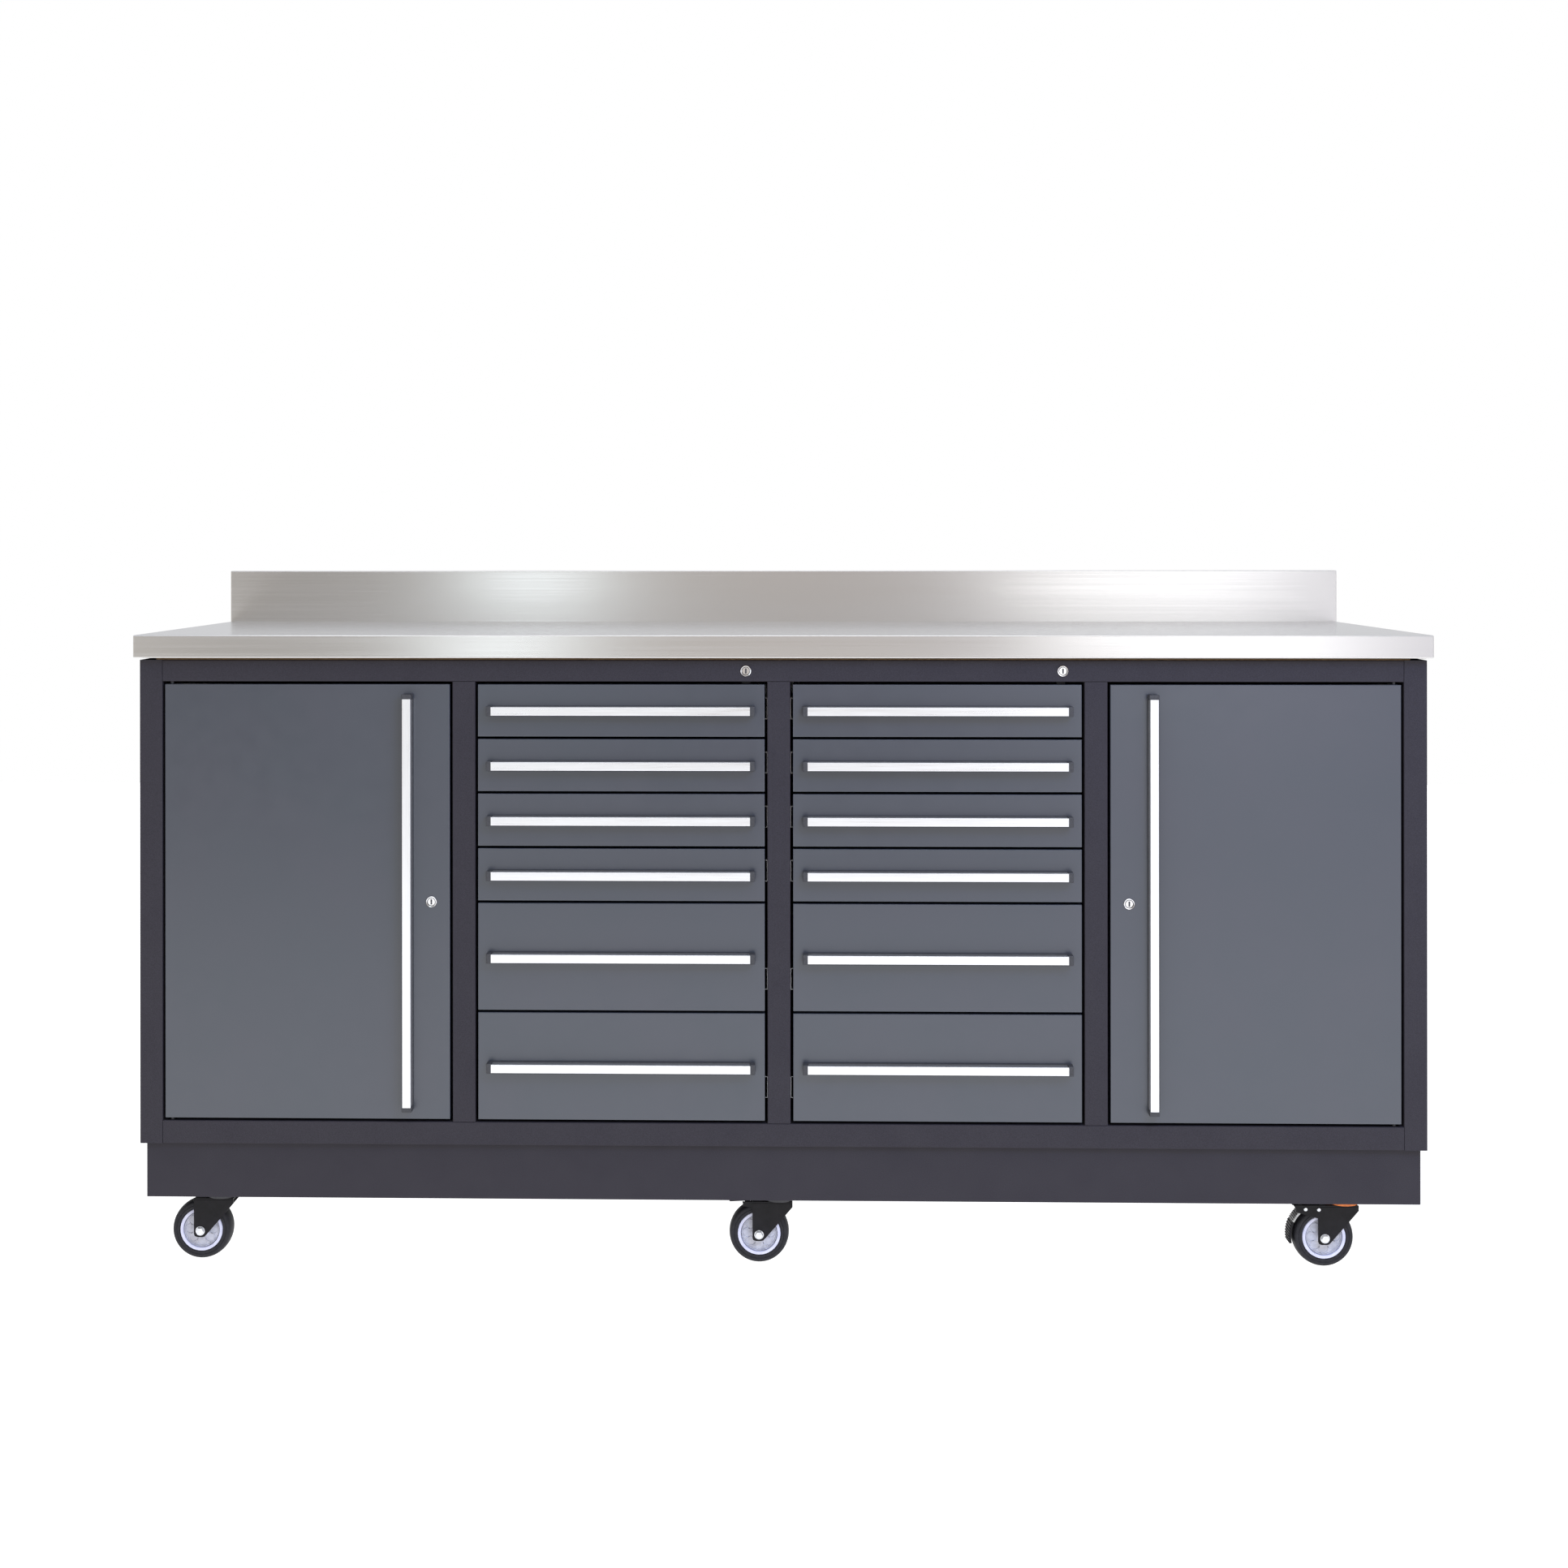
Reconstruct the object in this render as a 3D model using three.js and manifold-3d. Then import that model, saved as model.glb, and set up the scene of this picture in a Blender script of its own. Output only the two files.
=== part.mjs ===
// Rolling workbench cabinet: a stainless worktop over two cupboards and twelve drawers, on six castors.
// Millimetres, +Z up. The front faces -Y, and the origin is on the floor under the middle of the worktop.
import * as THREE from 'three';
import { mergeVertices } from 'three/addons/utils/BufferGeometryUtils.js';
import Module from 'manifold-3d';

const wasm = await Module();
wasm.setup();

// ---------------------------------------------------------------- driving dimensions

const worktop = {
  width: 2130,
  depth: 620,
  thickness: 38, // height of the folded lip
  sheet: 1.5,
  lipReturn: 20, // how far the lip folds back in underneath
  shadowGap: 4, // from the cabinet's top to the lip
  boardInset: 30, // from the edge to the part of the board that rests on the cabinet
};
const backsplash = { height: 98, thickness: 20, sheet: 1.2, letIn: 0.5 }; // letIn: its welded foot in the worktop
const cabinet = {
  sideOverhang: 5, // worktop past the cabinet, each side
  frontSetback: 20, // cabinet face behind the worktop's front edge
  rearSetback: 10,
  sheet: 1.5,
  stile: 38, // face width of posts and dividers
  topRail: 35.5,
  bottomRail: 38,
  camGap: 2, // rail flanges in front of the lock cams
  postDepth: 28,
  rearFlange: 25,
  bays: 4,
};
const fronts = {
  depth: 18,
  sheet: 1.2,
  sideGap: 4.25, // to the stiles
  endGap: 4.5, // to the rails
  gap: 3.8, // between drawer fronts
};
const drawer = {
  smallFront: 86.5,
  largeFront: 177,
  smallCount: 4,
  largeCount: 2,
  slideClearance: 13, // box side to the divider wall
  sheet: 1,
  rearClearance: 59, // box rear to the back panel
  floorAbove: 10, // box floor above the front's lower edge
  topBelow: 10.5, // box top below the front's upper edge
};
const slide = {
  height: 36,
  rail: 6.5, // thickness of the part on the divider
  gap: 1, // between the part on the divider and the part on the drawer
  centreAbove: 43, // middle of the slide above the front's lower edge
  railSetback: 50, // rail's front end behind the cabinet's face
  memberSetback: 25,
  rearSetback: 3, // drawer part's rear end in front of the box's rear
};
const handle = {
  height: 16.5,
  depth: 20,
  wall: 2,
  drawerMargin: 24, // from the front's side to the handle's end
  doorMargin: 23.5, // from the door's end to the handle's end
  doorInset: 69, // handle's middle from the door's opening edge
};
const door = { returnWidth: 20, pinInset: 10, pinRadius: 3, pinClearance: 0.5, pinReach: 9.5 };
const lock = {
  faceRadius: 10,
  faceDepth: 2,
  barrelRadius: 7.75,
  holeClearance: 0.5, // around the barrel
  faceGap: 0.3,
  camBehind: 28, // front of the cam behind the front's face
  camThickness: 2,
  camWidth: 14,
  camReach: 24,
  returnGap: 2.75, // from the door's folded return to the barrel
  railInset: 35.25, // lock's middle from the stile on its right, in the top rail
};
const shelf = { thickness: 20, sheet: 1.2, camGap: 5, rearGap: 5, above: 364 }; // camGap: behind the lock cams
const plinth = { height: 91.5, inset: 8, frontInset: 10, rearInset: 10, sheet: 2 };
const bearer = { width: 140, thickness: 3 };
const castor = {
  wheelRadius: 50,
  wheelGap: 7, // tyre to the fork's crown
  wheelWidth: 32,
  trail: 34,
  sideInset: 120, // swivel axis from the cabinet's side
  faceInset: 63, // swivel axis from the plinth's front and back
  headRadius: 28,
  headGap: 0.3,
  headHeight: 10, // fork's crown to the plinth
  forkFront: 56, // fork's leading edge from the axle
  forkRear: 11, // trailing edge, and the legs' foot below the axle
  plate: 3,
  sideClearance: 3.5, // wheel side to the fork leg
  axleRadius: 5,
  boreClearance: 0.5,
  boltRadius: 8.5,
  boltHeight: 5,
  hubRadius: 14,
  hubProud: 2, // hub past the tyre's side
  shoulder: 3, // side wall below the tread's edge, and the hub's recess
  treadEdge: 8, // width of the rounded edge of the tread
};
const brake = { width: 26, shoeGap: 3.5, shoe: 5, bossRadius: 5, bite: 0.75, lever: 4, pinRadius: 2.5, pinClearance: 0.3 };

// The two kinds of brake. Places are in X from the axle and in Z from the top of the fork's crown, and wing is the
// outline of the fork's ear that carries the brake's pin, down to the leg. A plain pedal has no shoe of its own.
// A shoe brake's pin lies where its boss bites into the back of the shoe.
const pedalBrake = { pivotX: -20, pivotDrop: 4.5, pedalEnd: [-50, -6], wing: [[-28, 0], [-26, -10], [-11, -12]] };
const shoeBrake = {
  pivotDrop: 6,
  pedalEnd: [-72, 1],
  wing: [[-52, 0], [-44, -14], [-11, -24]],
  shoeAngles: [119, 192], // around the tyre, in degrees
};

// ---------------------------------------------------------------- levels and faces worked out from them

const worktopSide = worktop.width / 2;
const worktopFront = -worktop.depth / 2;
const worktopRear = worktop.depth / 2;
const cabinetSide = worktopSide - cabinet.sideOverhang;
const cabinetFront = worktopFront + cabinet.frontSetback;
const cabinetRear = worktopRear - cabinet.rearSetback;
const backPanelFront = cabinetRear - 2 * cabinet.sheet;
const railDepth = lock.camBehind - cabinet.camGap;
const drawerRear = backPanelFront - drawer.rearClearance;
const memberFront = cabinetFront + slide.memberSetback;
const slideLength = drawerRear - slide.rearSetback - memberFront;
const slideMember = drawer.slideClearance - slide.rail - slide.gap;
const shelfFront = cabinetFront + lock.camBehind + lock.camThickness + shelf.camGap;
const lockInset = door.returnWidth + lock.returnGap + lock.barrelRadius;
const lockHoleRadius = lock.barrelRadius + lock.holeClearance;

const crownTop = 2 * castor.wheelRadius + castor.wheelGap + castor.plate;
const plinthBottom = crownTop + castor.headHeight;
const cabinetBottom = plinthBottom + plinth.height;
const openingBottom = cabinetBottom + cabinet.bottomRail;
const frontHeights = [
  ...Array(drawer.smallCount).fill(drawer.smallFront),
  ...Array(drawer.largeCount).fill(drawer.largeFront),
];
const doorHeight = frontHeights.reduce((sum, height) => sum + height, 0) + (frontHeights.length - 1) * fronts.gap;
const doorBottom = openingBottom + fronts.endGap;
const doorTop = doorBottom + doorHeight;
const openingTop = doorTop + fronts.endGap;
const cabinetTop = openingTop + cabinet.topRail;
const lipBottom = cabinetTop + worktop.shadowGap;
const worktopTop = lipBottom + worktop.thickness;

const openingWidth = (2 * cabinetSide - (cabinet.bays + 1) * cabinet.stile) / cabinet.bays;
const frontWidth = openingWidth - 2 * fronts.sideGap;
const bayCentre = (bay) => -cabinetSide + cabinet.stile + openingWidth / 2 + bay * (openingWidth + cabinet.stile);
const stileCentre = (bay) => bayCentre(bay) + (openingWidth + cabinet.stile) / 2;
const innerSide = cabinetSide - cabinet.sheet;
const postInner = cabinetSide - cabinet.stile;

// Each drawer front's lower edge, from the top one down.
const frontBottoms = [];
let edge = doorTop;
for (const height of frontHeights) {
  frontBottoms.push(edge - height);
  edge -= height + fronts.gap;
}

// ---------------------------------------------------------------- finishes

const finish = (color, roughness, metalness) => new THREE.MeshStandardMaterial({ color, roughness, metalness });
const stainless = finish(0xb9b6b2, 0.35, 1);
const bodyPaint = finish(0x4c4851, 0.7, 0.1);
const frontPaint = finish(0x5b5f6b, 0.4, 0.2);
const aluminium = finish(0xdfe3e8, 0.25, 1);
const chrome = finish(0xc9ccd0, 0.15, 1);
const zincSteel = finish(0xb0b4b8, 0.4, 1);
const boardWood = finish(0xb48a5a, 0.8, 0);
const castorBlack = finish(0x2b292a, 0.6, 0.2);
const wheelGrey = finish(0x55555c, 0.7, 0);

// ---------------------------------------------------------------- shape helpers

function toSolid(geometry) {
  const bare = geometry.clone();
  bare.deleteAttribute('normal');
  bare.deleteAttribute('uv');
  const merged = mergeVertices(bare, 1e-4);
  const vertProperties = new Float32Array(merged.attributes.position.array);
  const triVerts = new Uint32Array(merged.index.array);
  return new wasm.Manifold(new wasm.Mesh({ numProp: 3, vertProperties, triVerts }));
}

function toGeometry(manifold) {
  const mesh = manifold.getMesh();
  const geometry = new THREE.BufferGeometry();
  geometry.setAttribute('position', new THREE.BufferAttribute(mesh.vertProperties, 3));
  geometry.setIndex(new THREE.BufferAttribute(mesh.triVerts, 1));
  geometry.computeVertexNormals();
  return geometry;
}

function join(...pieces) {
  return toGeometry(pieces.map(toSolid).reduce((whole, piece) => whole.add(piece)));
}

function cut(piece, ...tools) {
  return toGeometry(tools.map(toSolid).reduce((whole, tool) => whole.subtract(tool), toSolid(piece)));
}

// A box between two limits on each axis. Its corners are put exactly on the limits, so faces that meet share them.
function block([x0, x1], [y0, y1], [z0, z1]) {
  const box = new THREE.BoxGeometry(1, 1, 1);
  const corners = box.attributes.position;
  for (let i = 0; i < corners.count; i += 1) {
    const [x, y, z] = [corners.getX(i), corners.getY(i), corners.getZ(i)];
    corners.setXYZ(i, x < 0 ? x0 : x1, y < 0 ? y0 : y1, z < 0 ? z0 : z1);
  }
  return box;
}

// An outline drawn in Y and Z, given a length along X.
function barAlongX(corners, [x0, x1]) {
  const outline = new THREE.Shape(corners.map(([y, z]) => new THREE.Vector2(y, z)));
  const bar = new THREE.ExtrudeGeometry(outline, { depth: x1 - x0, bevelEnabled: false });
  return bar.rotateX(Math.PI / 2).rotateZ(Math.PI / 2).translate(x0, 0, 0);
}

// A round bar along Y.
function barAlongY(radius, [y0, y1], x, z, sides = 20) {
  return new THREE.CylinderGeometry(radius, radius, y1 - y0, sides).translate(x, (y0 + y1) / 2, z);
}

// A round bar along Z.
function barAlongZ(radius, [z0, z1], x, y, sides = 20) {
  return new THREE.CylinderGeometry(radius, radius, z1 - z0, sides).rotateX(Math.PI / 2).translate(x, y, (z0 + z1) / 2);
}

// An outline drawn in X and Z, given a thickness along Y.
function plateAlongY(shape, [y0, y1], curveSegments = 8) {
  const plate = new THREE.ExtrudeGeometry(shape, { depth: y1 - y0, bevelEnabled: false, curveSegments });
  return plate.rotateX(Math.PI / 2).translate(0, y1, 0);
}

const both = (half) => [-half, half];
const OVER = 1; // how far a cutting tool runs past the face that it cuts

const bench = new THREE.Group();

function add(name, geometry, material, parent = bench) {
  const mesh = new THREE.Mesh(geometry, material);
  mesh.name = name;
  parent.add(mesh);
  return mesh;
}

function groupAt(x, y, z, parent = bench) {
  const group = new THREE.Group();
  group.position.set(x, y, z);
  parent.add(group);
  return group;
}

// ---------------------------------------------------------------- worktop

const splashFront = worktopRear - backsplash.thickness;
const splashFoot = worktopTop - backsplash.letIn;

// A tray of sheet steel, upside down, with its lip folded back in underneath all round. The backsplash's foot is let
// into its top, behind a slanting edge for the weld.
function worktopSkin() {
  const s = worktop.sheet;
  const outer = block(both(worktopSide), [worktopFront, worktopRear], [lipBottom, worktopTop]);
  const hollow = block(both(worktopSide - s), [worktopFront + s, worktopRear - s], [lipBottom + s, worktopTop - s]);
  const r = worktop.lipReturn;
  const mouth = block(both(worktopSide - r), [worktopFront + r, worktopRear - r], [lipBottom - OVER, lipBottom + 2 * s]);
  const seat = [
    [splashFront - OVER, worktopTop + OVER],
    [splashFront + backsplash.letIn, splashFoot],
    [worktopRear + OVER, splashFoot],
    [worktopRear + OVER, worktopTop + OVER],
  ];
  return cut(outer, hollow, mouth, barAlongX(seat, both(worktopSide + OVER)));
}

// The board fills the tray, and a step below it rests on the cabinet.
function worktopBoard() {
  const s = worktop.sheet;
  const filling = block(both(worktopSide - s), [worktopFront + s, worktopRear - s], [lipBottom + s, worktopTop - s]);
  const i = worktop.boardInset;
  const step = block(both(worktopSide - i), [worktopFront + i, worktopRear - i], [cabinetTop, lipBottom + 2 * s]);
  return join(filling, step);
}

// A folded upstand, open below, along the worktop's rear edge.
function backsplashBox() {
  const s = backsplash.sheet;
  const top = worktopTop + backsplash.height;
  const outline = [
    [splashFront, worktopTop],
    [splashFront + backsplash.letIn, splashFoot],
    [worktopRear, splashFoot],
    [worktopRear, top],
    [splashFront, top],
  ];
  const hollow = block(both(worktopSide - s), [splashFront + s, worktopRear - s], [splashFoot - OVER, top - s]);
  return cut(barAlongX(outline, both(worktopSide)), hollow);
}

add('worktop_skin', worktopSkin(), stainless);
add('worktop_board', worktopBoard(), boardWood);
add('backsplash', backsplashBox(), stainless);

// ---------------------------------------------------------------- cabinet shell

// A side panel folded into the front corner post, with a flange at the rear. side is -1 or 1.
function sidePanel(side) {
  const s = cabinet.sheet;
  const postBack = cabinetFront + cabinet.postDepth;
  const lipEnd = postInner + cabinet.stile / 2;
  const flangeEnd = cabinetSide - cabinet.rearFlange;
  const outline = new THREE.Shape();
  outline.moveTo(side * cabinetSide, cabinetFront);
  outline.lineTo(side * cabinetSide, cabinetRear);
  outline.lineTo(side * flangeEnd, cabinetRear);
  outline.lineTo(side * flangeEnd, cabinetRear - s);
  outline.lineTo(side * innerSide, cabinetRear - s);
  outline.lineTo(side * innerSide, cabinetFront + s);
  outline.lineTo(side * (postInner + s), cabinetFront + s);
  outline.lineTo(side * (postInner + s), postBack - s);
  outline.lineTo(side * lipEnd, postBack - s);
  outline.lineTo(side * lipEnd, postBack);
  outline.lineTo(side * postInner, postBack);
  outline.lineTo(side * postInner, cabinetFront);
  outline.closePath();
  const panel = new THREE.ExtrudeGeometry(outline, { depth: cabinetTop - cabinetBottom, bevelEnabled: false });
  return panel.translate(0, 0, cabinetBottom);
}

// The front rail over the openings, with holes for the two drawer locks and the door pins.
function topRail() {
  const s = cabinet.sheet;
  const x = both(postInner);
  const y = [cabinetFront, cabinetFront + railDepth];
  const channel = cut(
    block(x, y, [openingTop, cabinetTop]),
    block(both(postInner + OVER), [cabinetFront + s, y[1] + OVER], [openingTop + s, cabinetTop - s]),
  );
  return cut(channel, ...drawerLockPlaces.map((place) => lockHole(place)), ...pinHoles(openingTop));
}

// The floor of the cupboards and drawer bays, with the bottom rail folded down at its front.
function floorPan() {
  const s = cabinet.sheet;
  const floor = [openingBottom - s, openingBottom];
  const deck = block(both(postInner), [cabinetFront, backPanelFront], floor);
  const wings = block(both(innerSide), [cabinetFront + cabinet.postDepth, backPanelFront], floor);
  const face = block(both(postInner), [cabinetFront, cabinetFront + s], [cabinetBottom, openingBottom]);
  const fold = block(both(postInner), [cabinetFront, cabinetFront + railDepth], [cabinetBottom, cabinetBottom + s]);
  const rear = block(both(innerSide), [backPanelFront - s, backPanelFront], [cabinetBottom, openingBottom]);
  return cut(join(deck, wings, face, fold, rear), ...pinHoles(openingBottom));
}

// A divider is a tall channel that is open at the back. walls carry the slide rails of the drawers beside it.
function divider(bay, railSides) {
  const s = cabinet.sheet;
  const half = cabinet.stile / 2;
  const z = [openingBottom, openingTop];
  const outer = block(both(half), [cabinetFront, backPanelFront], z);
  const hollow = block(both(half - s), [cabinetFront + s, backPanelFront + OVER], [z[0] - OVER, z[1] + OVER]);
  const railFront = cabinetFront + slide.railSetback;
  const rails = [];
  for (const side of railSides) {
    const x = side < 0 ? [-half - slide.rail, -half + s / 2] : [half - s / 2, half + slide.rail];
    for (const bottom of frontBottoms) {
      const centre = bottom + slide.centreAbove;
      const height = [centre - slide.height / 2, centre + slide.height / 2];
      rails.push(block(x, [railFront, railFront + slideLength], height));
    }
  }
  return join(cut(outer, hollow), ...rails).translate(stileCentre(bay), 0, 0);
}

const drawerLockPlaces = [1, 2].map((bay) => ({
  x: bayCentre(bay) + openingWidth / 2 - lock.railInset,
  z: (openingTop + cabinetTop) / 2,
}));

function lockHole({ x, z }) {
  return barAlongY(lockHoleRadius, [cabinetFront - OVER, cabinetFront + 2 * cabinet.sheet], x, z);
}

const pinX = postInner - fronts.sideGap - door.pinInset;
const pinY = cabinetFront + fronts.depth / 2;

// The holes that the door pins turn in, through the sheet at the given level.
function pinHoles(level) {
  const reach = [level - 2 * cabinet.sheet, level + 2 * cabinet.sheet];
  return [-pinX, pinX].map((x) => barAlongZ(door.pinRadius + door.pinClearance, reach, x, pinY));
}

add('side_left', sidePanel(-1), bodyPaint);
add('side_right', sidePanel(1), bodyPaint);
add('divider_left', divider(0, [1]), bodyPaint);
add('divider_centre', divider(1, [-1, 1]), bodyPaint);
add('divider_right', divider(2, [-1]), bodyPaint);
add('top_rail', topRail(), bodyPaint);
add('floor_pan', floorPan(), bodyPaint);
add('back_panel', block(both(innerSide), [backPanelFront, cabinetRear - cabinet.sheet], [cabinetBottom, cabinetTop]), bodyPaint);

// ---------------------------------------------------------------- shelves

// A folded shelf, open below, from the cupboard's outer wall to the divider.
function cupboardShelf() {
  const s = shelf.sheet;
  const outerEnd = innerSide;
  const innerEnd = postInner - openingWidth;
  const y = [shelfFront, backPanelFront - shelf.rearGap];
  const top = openingBottom + shelf.above;
  const outer = block([innerEnd, outerEnd], y, [top - shelf.thickness, top]);
  const hollow = block([innerEnd + s, outerEnd - s], [y[0] + s, y[1] - s], [top - shelf.thickness - OVER, top - s]);
  return cut(outer, hollow);
}

add('shelf_left', cupboardShelf().translate(-innerSide - (postInner - openingWidth), 0, 0), bodyPaint);
add('shelf_right', cupboardShelf(), bodyPaint);

// ---------------------------------------------------------------- handles and locks

// A channel handle across the front, open below, its back wall against y = 0. Its middle is at the origin.
function channelHandle(length) {
  const outer = block(both(length / 2), [-handle.depth, 0], both(handle.height / 2));
  const w = handle.wall;
  const grip = block(both(length / 2 + OVER), [w - handle.depth, -w], [-handle.height / 2 - OVER, handle.height / 2 - w]);
  return cut(outer, grip);
}

// The turning part of a key lock: face, barrel and cam. The cam hangs down when the lock is open.
function lockPlug() {
  const camFront = lock.camBehind;
  const camBack = camFront + lock.camThickness;
  return join(
    barAlongY(lock.faceRadius, [-lock.faceGap - lock.faceDepth, -lock.faceGap], 0, 0, 24),
    barAlongY(lock.barrelRadius, [-lock.faceGap - lock.faceDepth / 2, camBack], 0, 0),
    block(both(lock.camWidth / 2), [camFront, camBack], [-lock.camReach, lock.camWidth / 2]),
  );
}

drawerLockPlaces.forEach(({ x, z }, i) => {
  add(['drawer_lock_left', 'drawer_lock_right'][i], lockPlug(), chrome, groupAt(x, cabinetFront, z));
});

// ---------------------------------------------------------------- doors

// A door pan with folded edges, seen with its hinge on the side given: -1 left, 1 right.
function doorPan(hingeSide) {
  const s = fronts.sheet;
  const half = frontWidth / 2;
  const z = [0, doorHeight];
  const shell = block(both(half), [0, fronts.depth], z);
  const hollow = block(both(half - s), [s, fronts.depth - s], [s, doorHeight - s]);
  const r = door.returnWidth;
  const window = block(both(half - r), [fronts.depth - 2 * s, fronts.depth + OVER], [r, doorHeight - r]);
  const keyhole = barAlongY(lockHoleRadius, [-OVER, 2 * s], -hingeSide * (half - lockInset), doorHeight / 2);
  const pan = cut(shell, hollow, window, keyhole);
  const x = hingeSide * (half - door.pinInset);
  const lower = barAlongZ(door.pinRadius, [-door.pinReach, s / 2], x, fronts.depth / 2, 16);
  const upper = barAlongZ(door.pinRadius, [doorHeight - s / 2, doorHeight + door.pinReach], x, fronts.depth / 2, 16);
  return join(pan, lower, upper);
}

for (const [name, bay, hingeSide] of [['left', 0, -1], ['right', cabinet.bays - 1, 1]]) {
  const place = groupAt(bayCentre(bay), cabinetFront, doorBottom);
  const openingEdge = -hingeSide * frontWidth / 2;
  add(`door_${name}`, doorPan(hingeSide), frontPaint, place);
  const grip = channelHandle(doorHeight - 2 * handle.doorMargin).rotateY(-hingeSide * Math.PI / 2);
  const gripPlace = groupAt(openingEdge + hingeSide * handle.doorInset, 0, doorHeight / 2, place);
  add(`door_handle_${name}`, grip, aluminium, gripPlace);
  const lockPlace = groupAt(openingEdge + hingeSide * lockInset, 0, doorHeight / 2, place);
  add(`door_lock_${name}`, lockPlug(), chrome, lockPlace);
}

// ---------------------------------------------------------------- drawers

// A drawer: a front pan, and a box behind it with the moving half of a slide on each side.
function drawerBody(height) {
  const s = drawer.sheet;
  const p = fronts.sheet;
  const half = openingWidth / 2 - drawer.slideClearance;
  const pan = cut(
    block(both(frontWidth / 2), [0, fronts.depth], [0, height]),
    block(both(frontWidth / 2 - p), [p, fronts.depth + OVER], [p, height - p]),
  );
  const floor = drawer.floorAbove;
  const top = height - drawer.topBelow;
  const rear = drawerRear - cabinetFront;
  const box = cut(
    block(both(half), [p / 2, rear], [floor, top]),
    block(both(half - s), [fronts.depth, rear - s], [floor + s, top + OVER]),
    block(both(half - s), [p, fronts.depth - s], [floor + s, top + OVER]),
  );
  const members = [-1, 1].map((side) => {
    const x = side < 0 ? [-half - slideMember, -half + s / 2] : [half - s / 2, half + slideMember];
    const y = [slide.memberSetback, slide.memberSetback + slideLength];
    return block(x, y, [slide.centreAbove - slide.height / 2, slide.centreAbove + slide.height / 2]);
  });
  return join(pan, box, ...members);
}

for (const [name, bay] of [['left', 1], ['right', 2]]) {
  frontHeights.forEach((height, i) => {
    const place = groupAt(bayCentre(bay), cabinetFront, frontBottoms[i]);
    add(`drawer_${name}_${i + 1}`, drawerBody(height), frontPaint, place);
    const grip = channelHandle(frontWidth - 2 * handle.drawerMargin);
    add(`drawer_handle_${name}_${i + 1}`, grip, aluminium, groupAt(0, 0, height / 2, place));
  });
}

// ---------------------------------------------------------------- plinth

const plinthSide = cabinetSide - plinth.inset;
const plinthFront = cabinetFront + plinth.frontInset;
const plinthRear = cabinetRear - plinth.rearInset;
const castorX = [-1, 0, 1].map((side) => side * (cabinetSide - castor.sideInset));
const castorY = [plinthFront + castor.faceInset, plinthRear - castor.faceInset];

// A skirt of sheet steel, with three bearers across its lower edge for the castors.
function plinthFrame() {
  const inner = plinthSide - plinth.sheet;
  const y = [plinthFront + plinth.sheet, plinthRear - plinth.sheet];
  const bearerTop = plinthBottom + bearer.thickness;
  const skirt = block(both(plinthSide), [plinthFront, plinthRear], [plinthBottom, cabinetBottom]);
  const hollow = block(both(inner), y, [bearerTop, cabinetBottom + OVER]);
  const bearerEdges = castorX.flatMap((x) => [x - bearer.width / 2, x + bearer.width / 2]);
  const windowEdges = [-inner, ...bearerEdges, inner];
  const windows = [];
  for (let i = 0; i < windowEdges.length; i += 2) {
    const x = [windowEdges[i], windowEdges[i + 1]];
    windows.push(block(x, y, [plinthBottom - OVER, bearerTop + OVER]));
  }
  return cut(skirt, hollow, ...windows);
}

add('plinth', plinthFrame(), bodyPaint);

// ---------------------------------------------------------------- castors

const axleX = -castor.trail;
const axleZ = castor.wheelRadius;
const legInner = castor.wheelWidth / 2 + castor.sideClearance;
const legOuter = legInner + castor.plate;
const crownRear = axleX - castor.forkRear;
const crownFront = axleX + castor.forkFront;
const legBottom = axleZ - castor.forkRear;
const fromCrown = ([x, z]) => [axleX + x, crownTop + z];

// The outline of a fork leg. A braked fork has an ear at its trailing edge.
function legOutline(wing) {
  const outline = new THREE.Shape();
  outline.moveTo(crownFront, crownTop);
  for (const point of wing) outline.lineTo(...fromCrown(point));
  if (wing.length === 0) outline.lineTo(crownRear, crownTop);
  outline.lineTo(crownRear, legBottom + 5);
  outline.quadraticCurveTo(crownRear, legBottom, crownRear + 6, legBottom);
  outline.lineTo(axleX + 3, legBottom);
  outline.quadraticCurveTo(axleX + 7, legBottom, axleX + 10, legBottom + 4);
  outline.lineTo(crownFront, crownTop - 10);
  outline.closePath();
  return outline;
}

// Where a brake's pin is, in X and Z from the swivel axis and the floor.
function brakePivot({ pivotX, pivotDrop }) {
  const z = crownTop - pivotDrop;
  if (pivotX !== undefined) return [axleX + pivotX, z];
  const reach = castor.wheelRadius + brake.shoeGap + brake.shoe + brake.bossRadius - brake.bite;
  return [axleX - Math.sqrt(reach ** 2 - (z - axleZ) ** 2), z];
}

// Two legs under a flat crown, with the swivel head above and the axle bolt through the legs.
function castorFork(brakeKind) {
  const wing = brakeKind ? brakeKind.wing : [];
  const legs = [-1, 1].map((side) => {
    const y = side < 0 ? [-legOuter, -legInner] : [legInner, legOuter];
    return plateAlongY(legOutline(wing), y, 4);
  });
  const crown = block([crownRear, crownFront], both(legOuter), [crownTop - castor.plate, crownTop]);
  const head = barAlongZ(castor.headRadius, [crownTop - castor.plate / 2, plinthBottom - castor.headGap], 0, 0, 28);
  const axle = barAlongY(castor.axleRadius, both(legOuter + 1), axleX, axleZ, 16);
  const bolts = [-1, 1].map((side) => {
    const y = side < 0 ? [-legOuter - castor.boltHeight, 1 - legOuter] : [legOuter - 1, legOuter + castor.boltHeight];
    return barAlongY(castor.boltRadius, y, axleX, axleZ, 6);
  });
  const pin = brakeKind ? [barAlongY(brake.pinRadius, both(legInner + 1), ...brakePivot(brakeKind), 12)] : [];
  return join(...legs, crown, head, axle, ...bolts, ...pin);
}

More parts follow.
